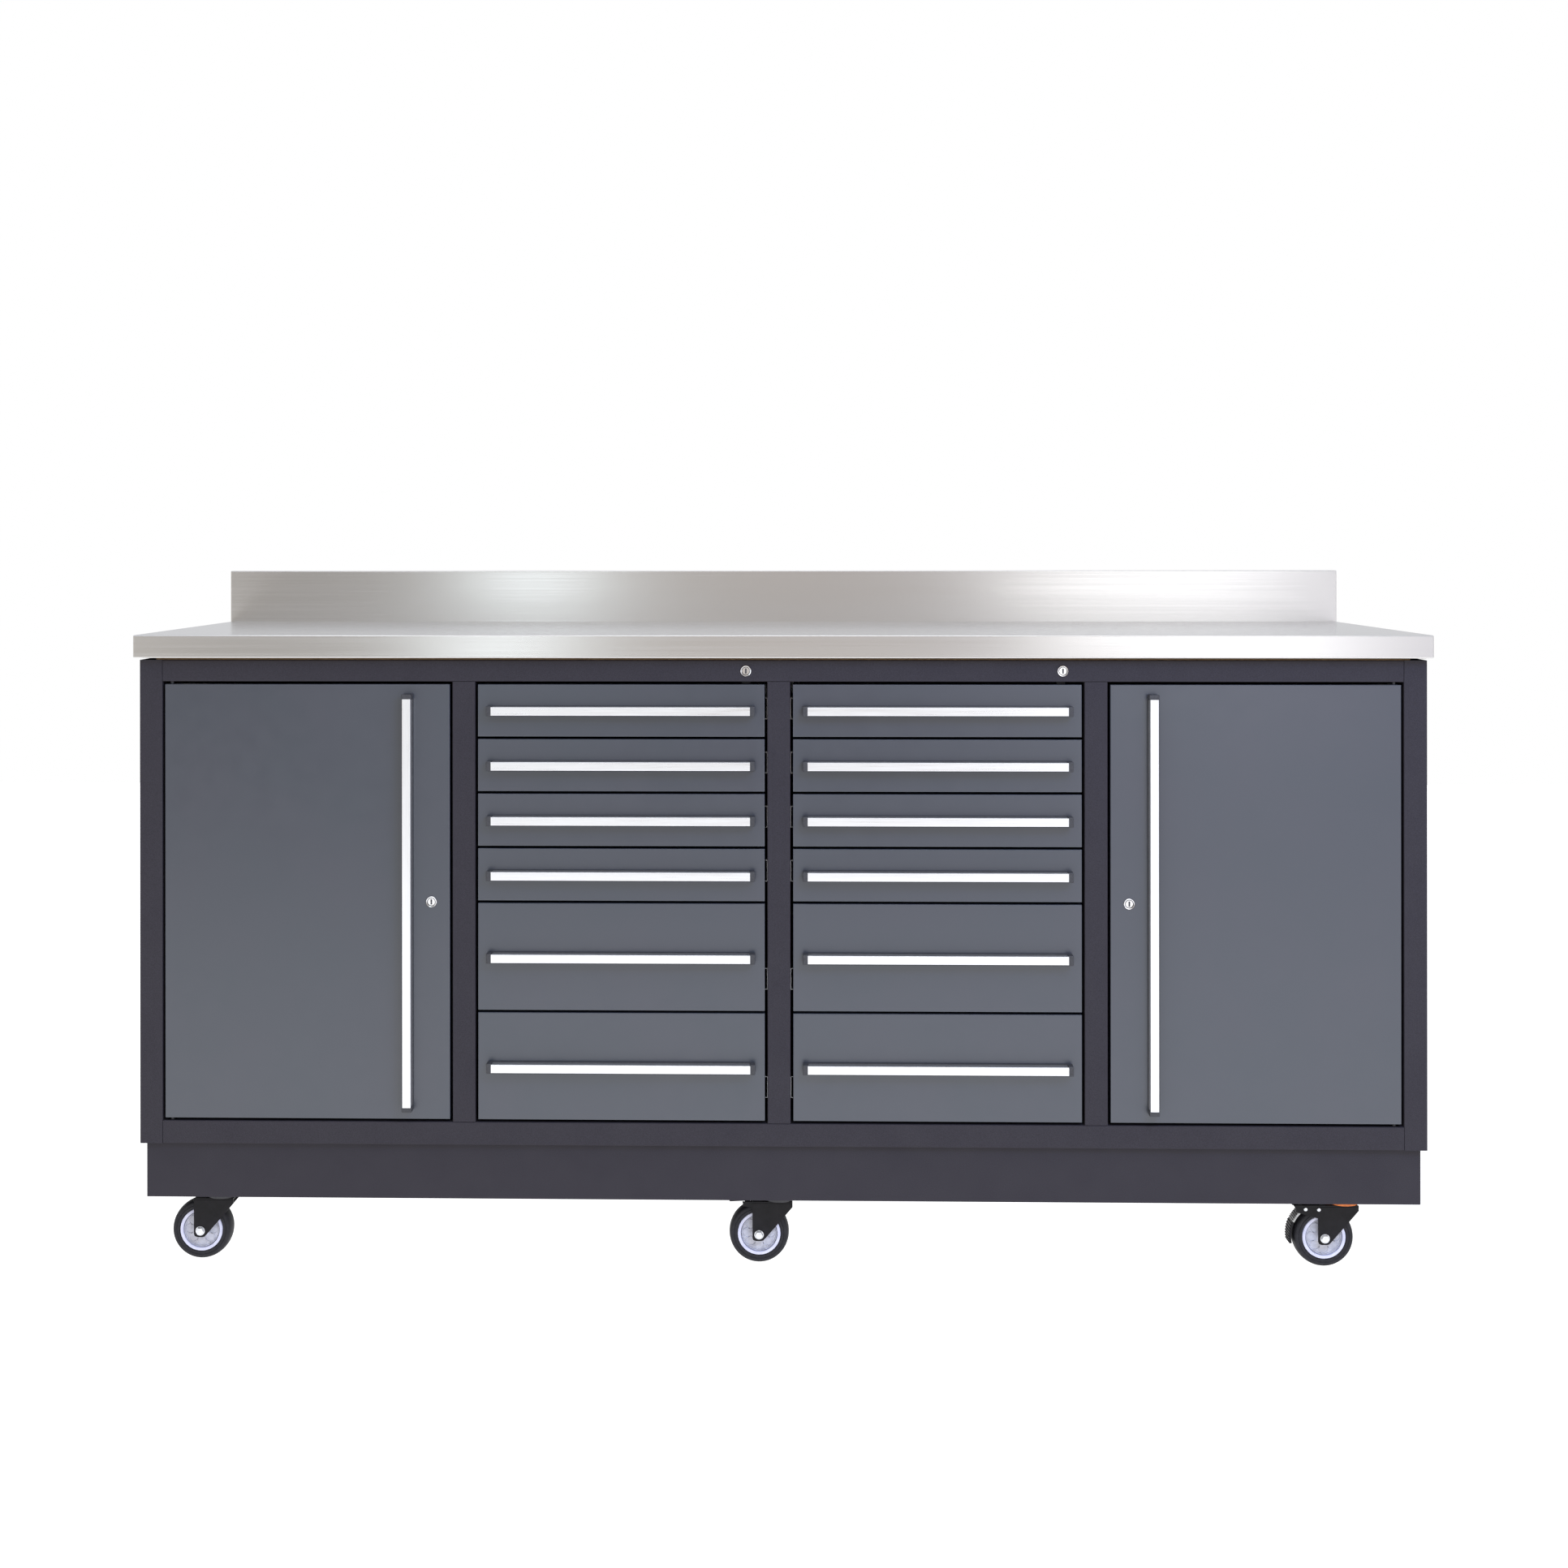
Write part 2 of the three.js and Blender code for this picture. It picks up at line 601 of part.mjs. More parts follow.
// A wheel turned about the axle: hub, recessed web, rim and a tyre with a crowned tread.
function castorWheel() {
  const r = castor.wheelRadius;
  const w = castor.wheelWidth / 2;
  const bore = castor.axleRadius + castor.boreClearance;
  const upper = [
    [bore, w + castor.hubProud],
    [castor.hubRadius, w + castor.hubProud],
    [castor.hubRadius, w - castor.shoulder],
    [r - castor.shoulder, w],
    [r, w - castor.treadEdge],
  ];
  const lower = upper.map(([radius, y]) => [radius, -y]);
  const ring = [...lower, ...upper.reverse(), lower[0]];
  const profile = ring.map(([radius, y]) => new THREE.Vector2(radius, y));
  return new THREE.LatheGeometry(profile, 28);
}

// A curved shoe around the tyre, in X and Z about the axle, from one angle to another in degrees.
function shoeOutline(fromAngle, toAngle) {
  const inner = castor.wheelRadius + brake.shoeGap;
  const [a0, a1] = [fromAngle, toAngle].map(THREE.MathUtils.degToRad);
  const outline = new THREE.Shape();
  outline.absarc(axleX, axleZ, inner + brake.shoe, a0, a1, false);
  outline.absarc(axleX, axleZ, inner, a1, a0, true);
  outline.closePath();
  return outline;
}

// A brake lever that turns on its pin: boss, pedal plate and, on a shoe brake, the shoe.
function brakeLever(kind) {
  const { pedalEnd, shoeAngles } = kind;
  const width = both(brake.width / 2);
  const [x, z] = brakePivot(kind);
  const [endX, endZ] = fromCrown(pedalEnd);
  const t = brake.lever / 2;
  const plate = new THREE.Shape();
  plate.moveTo(x, z - t);
  plate.lineTo(x, z + t);
  plate.lineTo(endX, endZ + t);
  plate.lineTo(endX, endZ - t);
  plate.closePath();
  const pieces = [barAlongY(brake.bossRadius, width, x, z, 16), plateAlongY(plate, width)];
  if (shoeAngles) pieces.push(plateAlongY(shoeOutline(...shoeAngles), width, 10));
  return cut(join(...pieces), barAlongY(brake.pinRadius + brake.pinClearance, both(brake.width / 2 + OVER), x, z, 12));
}

const castors = [
  { name: 'front_left', x: castorX[0], y: castorY[0] },
  { name: 'front_centre', x: castorX[1], y: castorY[0], brakeKind: pedalBrake },
  { name: 'front_right', x: castorX[2], y: castorY[0], brakeKind: shoeBrake },
  { name: 'rear_left', x: castorX[0], y: castorY[1] },
  { name: 'rear_centre', x: castorX[1], y: castorY[1] },
  { name: 'rear_right', x: castorX[2], y: castorY[1] },
];

for (const { name, x, y, brakeKind } of castors) {
  const place = groupAt(x, y, 0);
  add(`castor_fork_${name}`, castorFork(brakeKind), castorBlack, place);
  add(`castor_wheel_${name}`, castorWheel(), wheelGrey, groupAt(axleX, 0, axleZ, place));
  if (brakeKind) add(`castor_brake_${name}`, brakeLever(brakeKind), zincSteel, place);
}

export default bench;
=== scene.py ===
# %% [markdown]
# # A rolling workbench cabinet
# The bench is a long stainless worktop over a steel cabinet with two cupboards and twelve drawers, on six
# castors. The CAD frame already holds every part at its true size and place, so this lesson gives each
# part its finer shape and its finish. All the shaping is done in millimetres, and each finished piece is
# brought to metres.

# %% Load the frame
import math

import bmesh
import bpy
from mathutils import Matrix, Vector


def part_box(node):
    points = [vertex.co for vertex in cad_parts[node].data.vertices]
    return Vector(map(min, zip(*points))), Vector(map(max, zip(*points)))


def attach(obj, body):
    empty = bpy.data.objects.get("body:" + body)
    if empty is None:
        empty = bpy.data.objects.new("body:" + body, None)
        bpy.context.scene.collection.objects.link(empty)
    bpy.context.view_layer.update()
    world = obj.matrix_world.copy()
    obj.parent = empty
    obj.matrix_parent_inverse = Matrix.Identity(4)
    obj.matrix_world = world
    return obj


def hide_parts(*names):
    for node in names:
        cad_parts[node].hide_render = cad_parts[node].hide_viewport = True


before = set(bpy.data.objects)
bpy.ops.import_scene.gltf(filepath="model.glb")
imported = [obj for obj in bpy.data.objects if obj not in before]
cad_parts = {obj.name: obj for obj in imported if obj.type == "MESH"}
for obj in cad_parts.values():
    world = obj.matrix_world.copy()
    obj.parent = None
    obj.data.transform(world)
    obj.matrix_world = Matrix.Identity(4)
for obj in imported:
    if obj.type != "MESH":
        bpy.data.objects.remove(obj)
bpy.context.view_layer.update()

MM = 0.001
ROOT = "cabinet"

# %% [markdown]
# ## The camera
# The bench is seen from the front, a little above its worktop, with a normal lens. The body of the camera
# stays level so that upright edges stay upright, and the lens is shifted down to frame the bench, as an
# architect does.

# %% Camera
camera = bpy.data.objects.new("bench_camera", bpy.data.cameras.new("bench_camera"))
bpy.context.collection.objects.link(camera)
camera.location = (0.0171, -3.6994, 1.204)
camera.rotation_euler = (math.radians(90), math.radians(0.05), math.radians(1.354))
camera.data.lens = 47.53
camera.data.sensor_width = 36
camera.data.shift_x = 0.028
camera.data.shift_y = -0.1529
camera.data.dof.use_dof = False
bpy.context.scene.camera = camera
bpy.context.scene.view_settings.view_transform = "Standard"

# %% [markdown]
# ## The studio
# A white product studio is a pale floor, a soft white surround and a few large lamps. Brushed steel shows
# what it faces, so two soft boxes stand behind the camera with a gap between them: they make the bright
# and dark bands along the worktop's edge. The surround has a few tones across the horizon, which the
# steel shows as slow bands. The floor glows white, so it stays pale under the bench, and the satin fronts
# grow darker upwards. A key lamp lifts the paint but is kept out of reflections. The camera alone sees a
# plain white backdrop.

# %% Floor
FLOOR_HALF = 5.5
floor_mesh = bpy.data.meshes.new("studio_floor")
bm = bmesh.new()
bmesh.ops.create_grid(bm, x_segments=1, y_segments=1, size=FLOOR_HALF)
bmesh.ops.translate(bm, verts=bm.verts, vec=(0, 1.2, 0))
bm.to_mesh(floor_mesh)
bm.free()
studio_floor = bpy.data.objects.new("studio_floor", floor_mesh)
bpy.context.collection.objects.link(studio_floor)
floor_material = bpy.data.materials.new("studio_floor")
floor_material.use_nodes = True
floor_shader = floor_material.node_tree.nodes["Principled BSDF"]
floor_shader.inputs["Base Color"].default_value = (0.20, 0.20, 0.20, 1)
floor_shader.inputs["Roughness"].default_value = 0.9
floor_shader.inputs["Emission Color"].default_value = (1, 1, 1, 1)
floor_shader.inputs["Emission Strength"].default_value = 1.2
floor_mesh.materials.append(floor_material)

# %% Surround
SKY, BEHIND = (0.85, 0.88, 0.95, 1), (0.75, 0.75, 0.76, 1)
AHEAD = [
    (-0.33, (0.78, 0.74, 0.69)),
    (-0.27, (0.36, 0.34, 0.32)),
    (0.02, (0.68, 0.62, 0.58)),
    (0.12, (0.50, 0.47, 0.48)),
    (0.24, (0.80, 0.79, 0.86)),
    (0.32, (0.98, 0.96, 1.05)),
]
world = bpy.data.worlds.new("studio")
bpy.context.scene.world = world
world.use_nodes = True
nodes, links = world.node_tree.nodes, world.node_tree.links
direction = nodes.new("ShaderNodeTexCoord").outputs["Generated"]
parts = nodes.new("ShaderNodeSeparateXYZ")
links.new(direction, parts.inputs[0])


def surround_mix(factor, first, second):
    """Mixes two colours or outputs of the surround."""
    mix = nodes.new("ShaderNodeMixRGB")
    links.new(factor, mix.inputs[0])
    for socket, tone in zip(mix.inputs[1:], (first, second)):
        if isinstance(tone, tuple):
            socket.default_value = tone
        else:
            links.new(tone, socket)
    return mix.outputs[0]


def span(value, start, end):
    """Rises from 0 to 1 as a value goes from start to end."""
    between = nodes.new("ShaderNodeMapRange")
    between.interpolation_type = "SMOOTHSTEP"
    between.inputs["From Min"].default_value = start
    between.inputs["From Max"].default_value = end
    links.new(value, between.inputs["Value"])
    return between.outputs[0]


RAMP_HALF = 0.4
across = nodes.new("ShaderNodeMapRange")
across.inputs["From Min"].default_value = -RAMP_HALF
across.inputs["From Max"].default_value = RAMP_HALF
links.new(parts.outputs["X"], across.inputs["Value"])
wall = nodes.new("ShaderNodeValToRGB")
while len(wall.color_ramp.elements) < len(AHEAD):
    wall.color_ramp.elements.new(0.5)
for element, (place, tone) in zip(wall.color_ramp.elements, AHEAD):
    element.position = (place + RAMP_HALF) / (2 * RAMP_HALF)
    element.color = (*tone, 1)
links.new(across.outputs[0], wall.inputs[0])
horizon = surround_mix(span(parts.outputs["Y"], -0.3, 0.3), wall.outputs[0], BEHIND)
room = surround_mix(span(parts.outputs["Z"], 0.12, 0.5), horizon, SKY)
seen_by_camera = nodes.new("ShaderNodeLightPath").outputs["Is Camera Ray"]
backdrop = surround_mix(seen_by_camera, room, (1, 1, 1, 1))
links.new(backdrop, nodes["Background"].inputs["Color"])
nodes["Background"].inputs["Strength"].default_value = 1.0


# %% Lamps
def soft_box(name, place, target, size, watts, colour=(1, 1, 1)):
    """A rectangular lamp that faces a point."""
    lamp = bpy.data.lights.new(name, "AREA")
    lamp.shape = "RECTANGLE"
    lamp.size, lamp.size_y = size
    lamp.energy = watts
    lamp.color = colour
    holder = bpy.data.objects.new(name, lamp)
    holder.location = place
    holder.rotation_euler = (Vector(target) - Vector(place)).to_track_quat("-Z", "Y").to_euler()
    bpy.context.collection.objects.link(holder)
    return holder


soft_box("lamp_left", (-1.30, -6.3, 1.3), (-0.35, 0, 1.05), (0.52, 1.9), 7.5, (0.84, 0.94, 1.0))
soft_box("lamp_right", (1.85, -6.3, 1.3), (0.5, 0, 1.05), (1.4, 1.9), 15, (0.96, 0.98, 1.0))
soft_box("lamp_over", (0, -2.2, 4.5), (0, -1.6, 0), (4.0, 2.6), 45, (1.0, 1.0, 1.0))
key_lamp = soft_box("lamp_key", (1.2, -2.3, 2.3), (0.5, 0, 1.0), (1.2, 0.8), 50, (0.45, 0.60, 1.0))
key_lamp.visible_glossy = False

# %% [markdown]
# ## Helpers for shapes
# Sheet-metal work needs few kinds of shape. A block is a cube stretched between two corners. A folded
# sheet is a line of corners swept along one axis, with its folds rounded and then given its thickness. A
# turned piece is a profile spun about an axis, and a plate is an outline given a depth. Each helper
# returns a bmesh in millimetres. A rounded edge bends the shading of the flat face beside it, which would
# curve reflections in a large panel. A weighted-normal modifier on each piece gives the large faces the
# say, so they reflect as flat sheets.


# %% Blocks and rounded edges
def block(lo, hi):
    """A box between two corners."""
    bm = bmesh.new()
    lo, hi = Vector(lo), Vector(hi)
    place = Matrix.Translation((lo + hi) / 2) @ Matrix.Diagonal((*(hi - lo), 1))
    bmesh.ops.create_cube(bm, size=1, matrix=place)
    return bm


def round_off(bm, width, segments=3, which=None):
    """Rounds the edges that the test picks, or all of them."""
    edges = [e for e in bm.edges if which is None or which(e)]
    bmesh.ops.bevel(bm, geom=edges, offset=width, segments=segments, profile=0.5, affect="EDGES", material=-1)
    return bm


def along_axis(axis):
    """A test for edges that run along one axis."""
    def runs(edge):
        d = edge.verts[1].co - edge.verts[0].co
        return abs(d[axis]) > 0.99 * d.length
    return runs


def at_level(axis, value, tolerance=0.01):
    """A test for edges that lie at one place on an axis."""
    return lambda edge: all(abs(v.co[axis] - value) < tolerance for v in edge.verts)


def facing(bm, axis, sign):
    """The faces whose normals point along an axis."""
    return [f for f in bm.faces if f.normal[axis] * sign > 0.9]


def outer_edge(lo, hi):
    """A test for the outermost edges of a box: those that lie in two of its sides."""
    def lies(edge):
        first, second = (v.co for v in edge.verts)
        sides = 0
        for axis in range(3):
            for limit in (lo[axis], hi[axis]):
                sides += abs(first[axis] - limit) < 0.01 and abs(second[axis] - limit) < 0.01
        return sides >= 2
    return lies


def outward(bm):
    """Turns every face of a closed shape outwards."""
    bmesh.ops.recalc_face_normals(bm, faces=bm.faces)
    if bm.calc_volume(signed=True) < 0:
        bmesh.ops.reverse_faces(bm, faces=bm.faces)
    return bm


# %% Folded sheets
def spot(axis, a, b, along):
    """A point from its two places across an axis and its place along it."""
    return {"X": (along, a, b), "Y": (a, along, b), "Z": (a, b, along)}[axis]


def folded_sheet(path, axis, span, thickness, fold, closed=False):
    """A sheet folded along one axis: corners of its outer face, swept, rounded and thickened inwards."""
    bm = bmesh.new()
    corners = [bm.verts.new(spot(axis, a, b, span[0])) for a, b in path]
    ends = corners[1:] + corners[:1] if closed else corners[1:]
    edges = [bm.edges.new(pair) for pair in zip(corners, ends)]
    swept = bmesh.ops.extrude_edge_only(bm, edges=edges)["geom"]
    sweep = Vector(spot(axis, 0, 0, span[1] - span[0]))
    bmesh.ops.translate(bm, verts=[v for v in swept if isinstance(v, bmesh.types.BMVert)], vec=sweep)
    runs = along_axis("XYZ".index(axis))
    if fold:
        round_off(bm, fold, 3, lambda e: len(e.link_faces) == 2 and runs(e))
    bm.normal_update()
    middle = sum((v.co for v in bm.verts), Vector()) / len(bm.verts)
    outward = sum(f.normal.dot(f.calc_center_median() - middle) * f.calc_area() for f in bm.faces)
    if outward < 0:
        bmesh.ops.reverse_faces(bm, faces=bm.faces)
    return thicken(bm, thickness)


def thicken(bm, thickness):
    """Gives an open shell its thickness, inwards, and closes its edges."""
    bm.normal_update()
    bmesh.ops.solidify(bm, geom=bm.faces[:], thickness=thickness)
    return outward(bm)


# %% Turned pieces, bars and plates
TURN = {
    "X": Matrix.Rotation(math.pi / 2, 4, "Y"),
    "Y": Matrix.Rotation(-math.pi / 2, 4, "X"),
    "Z": Matrix.Identity(4),
}


def turned(profile, axis, centre, steps=48):
    """A profile of (radius, place along the axis), closed on itself or on the axis, spun right round."""
    bm = bmesh.new()
    verts = [bm.verts.new((radius, 0, height)) for radius, height in profile]
    edges = [bm.edges.new(pair) for pair in zip(verts, verts[1:])]
    if profile[0][0] > 0.01 or profile[-1][0] > 0.01:
        edges.append(bm.edges.new((verts[-1], verts[0])))
    bmesh.ops.spin(bm, geom=verts + edges, cent=(0, 0, 0), axis=(0, 0, 1),
                   angle=math.tau, steps=steps, use_merge=True)
    bmesh.ops.remove_doubles(bm, verts=bm.verts, dist=1e-4)
    bmesh.ops.transform(bm, matrix=Matrix.Translation(centre) @ TURN[axis], verts=bm.verts)
    return outward(bm)


def disc(radius, axis, centre, span, soft=0.3, steps=32):
    """A round bar or disc with softened rims, between two places along its axis."""
    low, high = span
    profile = [(0, low), (radius - soft, low), (radius, low + soft),
               (radius, high - soft), (radius - soft, high), (0, high)]
    return turned(profile, axis, centre, steps)


def plate(outline, axis, span, soft=0.0):
    """An outline across an axis, given a depth along it, with its rims softened."""
    bm = bmesh.new()
    face = bm.faces.new([bm.verts.new(spot(axis, a, b, span[0])) for a, b in outline])
    swept = bmesh.ops.extrude_face_region(bm, geom=[face])["geom"]
    sweep = Vector(spot(axis, 0, 0, span[1] - span[0]))
    bmesh.ops.translate(bm, verts=[v for v in swept if isinstance(v, bmesh.types.BMVert)], vec=sweep)
    outward(bm)
    if soft:
        runs = along_axis("XYZ".index(axis))
        round_off(bm, soft, 2, lambda e: not runs(e))
    return bm


def gather(shapes):
    """Several shapes in one bmesh."""
    whole = bmesh.new()
    for shape in shapes:
        passing = bpy.data.meshes.new("passing")
        shape.to_mesh(passing)
        shape.free()
        whole.from_mesh(passing)
        bpy.data.meshes.remove(passing)
    return whole


# %% Finishing a piece
MATERIALS = {}
SMOOTH_BELOW = math.radians(38)
made = []


def piece(name, shape, body, finish, stands_for=()):
    """Brings a shape to metres, makes it an object, sets it on its body, and hides the CAD parts it stands
    for.
    """
    bmesh.ops.scale(shape, vec=(MM, MM, MM), verts=shape.verts)
    mesh = bpy.data.meshes.new(name)
    shape.to_mesh(mesh)
    shape.free()
    for polygon in mesh.polygons:
        polygon.use_smooth = True
    mesh.set_sharp_from_angle(angle=SMOOTH_BELOW)
    mesh.materials.append(MATERIALS[finish])
    obj = bpy.data.objects.new(name, mesh)
    bpy.context.collection.objects.link(obj)
    even = obj.modifiers.new("flat_faces_stay_flat", "WEIGHTED_NORMAL")
    even.keep_sharp = True
    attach(obj, body)
    if stands_for:
        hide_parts(*stands_for)
    made.append(name)
    return obj


def limits(node):
    """A CAD node's lowest and highest corners, in millimetres."""
    lo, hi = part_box(node)
    return lo / MM, hi / MM


# %% [markdown]
# ## Finishes
# Every finish is a Principled shader with noise on the object's own coordinates. Stretching the noise
# along one axis makes brushed grain, fine round noise makes the pebbled skin of a powder coat, and broad
# noise makes the slow change of tone that keeps a large panel from looking flat.


# %% Helpers for finishes
class Finish:
    """A material with a Principled shader, built up a layer at a time."""

    def __init__(self, name, colour, roughness, metallic=0.0, **extra):
        material = bpy.data.materials.new(name)
        material.use_nodes = True
        self.nodes, self.links = material.node_tree.nodes, material.node_tree.links
        self.shader = self.nodes["Principled BSDF"]
        self.shader.inputs["Base Color"].default_value = (*colour, 1)
        self.shader.inputs["Roughness"].default_value = roughness
        self.shader.inputs["Metallic"].default_value = metallic
        for socket, value in extra.items():
            self.shader.inputs[socket.replace("_", " ")].default_value = value
        self.place = self.nodes.new("ShaderNodeTexCoord").outputs["Object"]
        self.normal = None
        MATERIALS[name] = material

    def noise(self, scale, stretch=(1, 1, 1), detail=3, roughness=0.5):
        """Noise of a size given as cells in a metre, stretched along an axis by a smaller factor."""
        mapping = self.nodes.new("ShaderNodeMapping")
        mapping.inputs["Scale"].default_value = stretch
        self.links.new(self.place, mapping.inputs["Vector"])
        texture = self.nodes.new("ShaderNodeTexNoise")
        texture.inputs["Scale"].default_value = scale
        texture.inputs["Detail"].default_value = detail
        texture.inputs["Roughness"].default_value = roughness
        self.links.new(mapping.outputs[0], texture.inputs["Vector"])
        return texture.outputs["Fac"]

    def steps(self, value, stops):
        """A ramp from a list of (place, colour or grey)."""
        ramp = self.nodes.new("ShaderNodeValToRGB")
        while len(ramp.color_ramp.elements) < len(stops):
            ramp.color_ramp.elements.new(0.5)
        for element, (at, tone) in zip(ramp.color_ramp.elements, stops):
            element.position = at
            element.color = (*tone, 1) if isinstance(tone, tuple) else (tone, tone, tone, 1)
        self.links.new(value, ramp.inputs[0])
        return ramp.outputs[0]

    def tones(self, value, stops):
        self.links.new(self.steps(value, stops), self.shader.inputs["Base Color"])
        return self

    def gloss(self, value, stops):
        self.links.new(self.steps(value, stops), self.shader.inputs["Roughness"])
        return self

    def spread(self, direction, share):
        """Highlights drawn out along a direction, as fine scratches across it do."""
        tangent = self.nodes.new("ShaderNodeCombineXYZ")
        for socket, part in zip(tangent.inputs, direction):
            socket.default_value = part
        self.links.new(tangent.outputs[0], self.shader.inputs["Tangent"])
        self.shader.inputs["Anisotropic"].default_value = share
        return self

    def relief(self, value, depth, strength=1.0):
        """A bump whose depth is in millimetres, laid over any that is there already."""
        bump = self.nodes.new("ShaderNodeBump")
        bump.inputs["Strength"].default_value = strength
        bump.inputs["Distance"].default_value = depth * MM
        self.links.new(value, bump.inputs["Height"])
        if self.normal:
            self.links.new(self.normal, bump.inputs["Normal"])
        self.normal = bump.outputs[0]
        self.links.new(self.normal, self.shader.inputs["Normal"])
        return self


# %% Metals
def brushed(name, light, dark, roughness, stretch, cells=900, depth=0.02, uneven=0.07):
    """Metal with a grain: fine streaks change its tone and gloss, and cut a faint relief."""
    metal = Finish(name, light, roughness, 1.0)
    streaks = metal.noise(cells, stretch, 4, 0.6)
    metal.tones(streaks, [(0.3, dark), (0.7, light)])
    metal.gloss(metal.noise(cells / 2, stretch, 2), [(0.3, roughness - uneven), (0.7, roughness + uneven)])
    metal.relief(streaks, depth, 0.35)
    return metal


stainless = brushed("stainless", (0.65, 0.64, 0.625), (0.63, 0.62, 0.605), 0.24, (0.004, 1, 1),
                    depth=0.002, uneven=0.02)
stainless.spread((0, 1, 1), 0.65)
brushed("aluminium_across", (0.90, 0.91, 0.93), (0.80, 0.81, 0.83), 0.34, (0.01, 1, 1), 1500)
brushed("aluminium_up", (0.90, 0.91, 0.93), (0.80, 0.81, 0.83), 0.34, (1, 1, 0.01), 1500)
brushed("slide_zinc", (0.70, 0.71, 0.73), (0.55, 0.56, 0.58), 0.32, (1, 0.02, 1))

chrome = Finish("lock_chrome", (0.80, 0.80, 0.81), 0.12, 1.0)
chrome.gloss(chrome.noise(600), [(0.3, 0.08), (0.8, 0.2)])

zinc = Finish("bolt_zinc", (0.78, 0.79, 0.80), 0.3, 1.0)
zinc.tones(zinc.noise(260, detail=5), [(0.3, (0.62, 0.63, 0.66)), (0.7, (0.86, 0.87, 0.88))])
zinc.relief(zinc.noise(1800), 0.03, 0.3)

brake_steel = Finish("brake_steel", (0.42, 0.42, 0.42), 0.42, 1.0)
brake_steel.tones(brake_steel.noise(320, detail=6), [(0.3, (0.30, 0.30, 0.30)), (0.7, (0.50, 0.50, 0.49))])
brake_steel.relief(brake_steel.noise(2200), 0.04, 0.4)

# %% [markdown]
# ### Paints
# The frame has a textured powder coat, which is pebbled at about a millimetre and takes hardly any shine.
# The fronts have a smooth satin coat of a bluer grey: its skin is nearly flat, with a faint orange peel.

# %% Paints
body_paint = Finish("body_paint", (0.025, 0.022, 0.029), 0.55, Specular_IOR_Level=0.3)
pebbles = body_paint.noise(950, detail=2)
body_paint.tones(pebbles, [(0.35, (0.020, 0.0175, 0.023)), (0.65, (0.030, 0.0265, 0.035))])
body_paint.gloss(body_paint.noise(14, detail=3), [(0.3, 0.56), (0.7, 0.68)])
body_paint.relief(pebbles, 0.12, 0.5)

front_paint = Finish("front_paint", (0.029, 0.035, 0.048), 0.28, Specular_IOR_Level=1.0)
broad = front_paint.noise(7, detail=4)
front_paint.tones(broad, [(0.3, (0.027, 0.034, 0.047)), (0.7, (0.031, 0.035, 0.049))])
front_paint.gloss(front_paint.noise(40, detail=3), [(0.3, 0.28), (0.7, 0.33)])
front_paint.relief(front_paint.noise(420, detail=2), 0.02, 0.12)

castor_black = Finish("castor_black", (0.006, 0.0055, 0.007), 0.40, Specular_IOR_Level=0.2)
castor_black.tones(castor_black.noise(90, detail=5),
                   [(0.3, (0.0045, 0.004, 0.005)), (0.7, (0.009, 0.008, 0.010))])
castor_black.relief(castor_black.noise(1100), 0.05, 0.3)

# %% Plastics, rubber and board
tyre_rubber = Finish("wheel_rubber", (0.014, 0.014, 0.017), 0.6, Specular_IOR_Level=0.3)
tyre_rubber.tones(tyre_rubber.noise(150, detail=6),
                  [(0.3, (0.010, 0.010, 0.013)), (0.75, (0.022, 0.021, 0.025))])
tyre_rubber.relief(tyre_rubber.noise(1500), 0.05, 0.4)

hub_grey = Finish("wheel_hub", (0.46, 0.46, 0.51), 0.42)
hub_grey.tones(hub_grey.noise(120, detail=5), [(0.3, (0.38, 0.38, 0.43)), (0.7, (0.54, 0.54, 0.60))])
hub_grey.relief(hub_grey.noise(900), 0.04, 0.3)

ring_light = Finish("wheel_ring", (0.60, 0.60, 0.72), 0.32)
ring_light.tones(ring_light.noise(80), [(0.3, (0.55, 0.55, 0.68)), (0.7, (0.66, 0.66, 0.78))])

# Black plastic for the end caps, hinge pins, keyways and seals. The same black is also laid as painted shade:
# the sheets round each handle bar and the strip along the plinth's top.
plastic_and_shade_black = Finish("end_cap", (0.035, 0.035, 0.040), 0.5)
plastic_and_shade_black.tones(plastic_and_shade_black.noise(300), [(0.3, (0.028, 0.028, 0.032)), (0.7, (0.045, 0.045, 0.050))])
plastic_and_shade_black.relief(plastic_and_shade_black.noise(1600), 0.05, 0.4)

seal_orange = Finish("seal_orange", (0.70, 0.17, 0.02), 0.4)
seal_orange.tones(seal_orange.noise(200), [(0.3, (0.58, 0.13, 0.015)), (0.7, (0.78, 0.21, 0.03))])

board_core = Finish("board", (0.42, 0.30, 0.18), 0.8)
board_core.tones(board_core.noise(700, (0.2, 1, 1), 5),
                 [(0.3, (0.33, 0.22, 0.12)), (0.7, (0.50, 0.37, 0.23))])
board_core.relief(board_core.noise(1300), 0.1, 0.5)

drawer_mat = Finish("drawer_mat", (0.02, 0.02, 0.022), 0.75)
drawer_mat.tones(drawer_mat.noise(240, detail=4),
                 [(0.3, (0.016, 0.016, 0.018)), (0.7, (0.032, 0.032, 0.034))])
drawer_mat.relief(drawer_mat.noise(700), 0.2, 0.5)
print(len(MATERIALS), "finishes")

# %% [markdown]
# ## The worktop
# The top is a tray of 1.5 mm stainless sheet turned upside down over a board. Its corners are rounded,
# its long edges have the small radius of a press brake, and its lip folds back in below. It starts as a
# block, its edges are rounded, its underside is opened, and the open shell is thickened inwards.

# %% Worktop skin and board
lo, hi = limits("worktop_skin")
skin = block(lo, hi)
LIP_RETURN, TOP_SHEET = 18, 1.5
underside = facing(skin, 2, -1)
bmesh.ops.inset_region(skin, faces=underside, thickness=LIP_RETURN)
bmesh.ops.delete(skin, geom=underside, context="FACES")
thicken(skin, TOP_SHEET)
round_off(skin, 2.2, 4, outer_edge(lo, hi))
piece("worktop_skin_folded", skin, ROOT, "stainless", ["worktop_skin"])

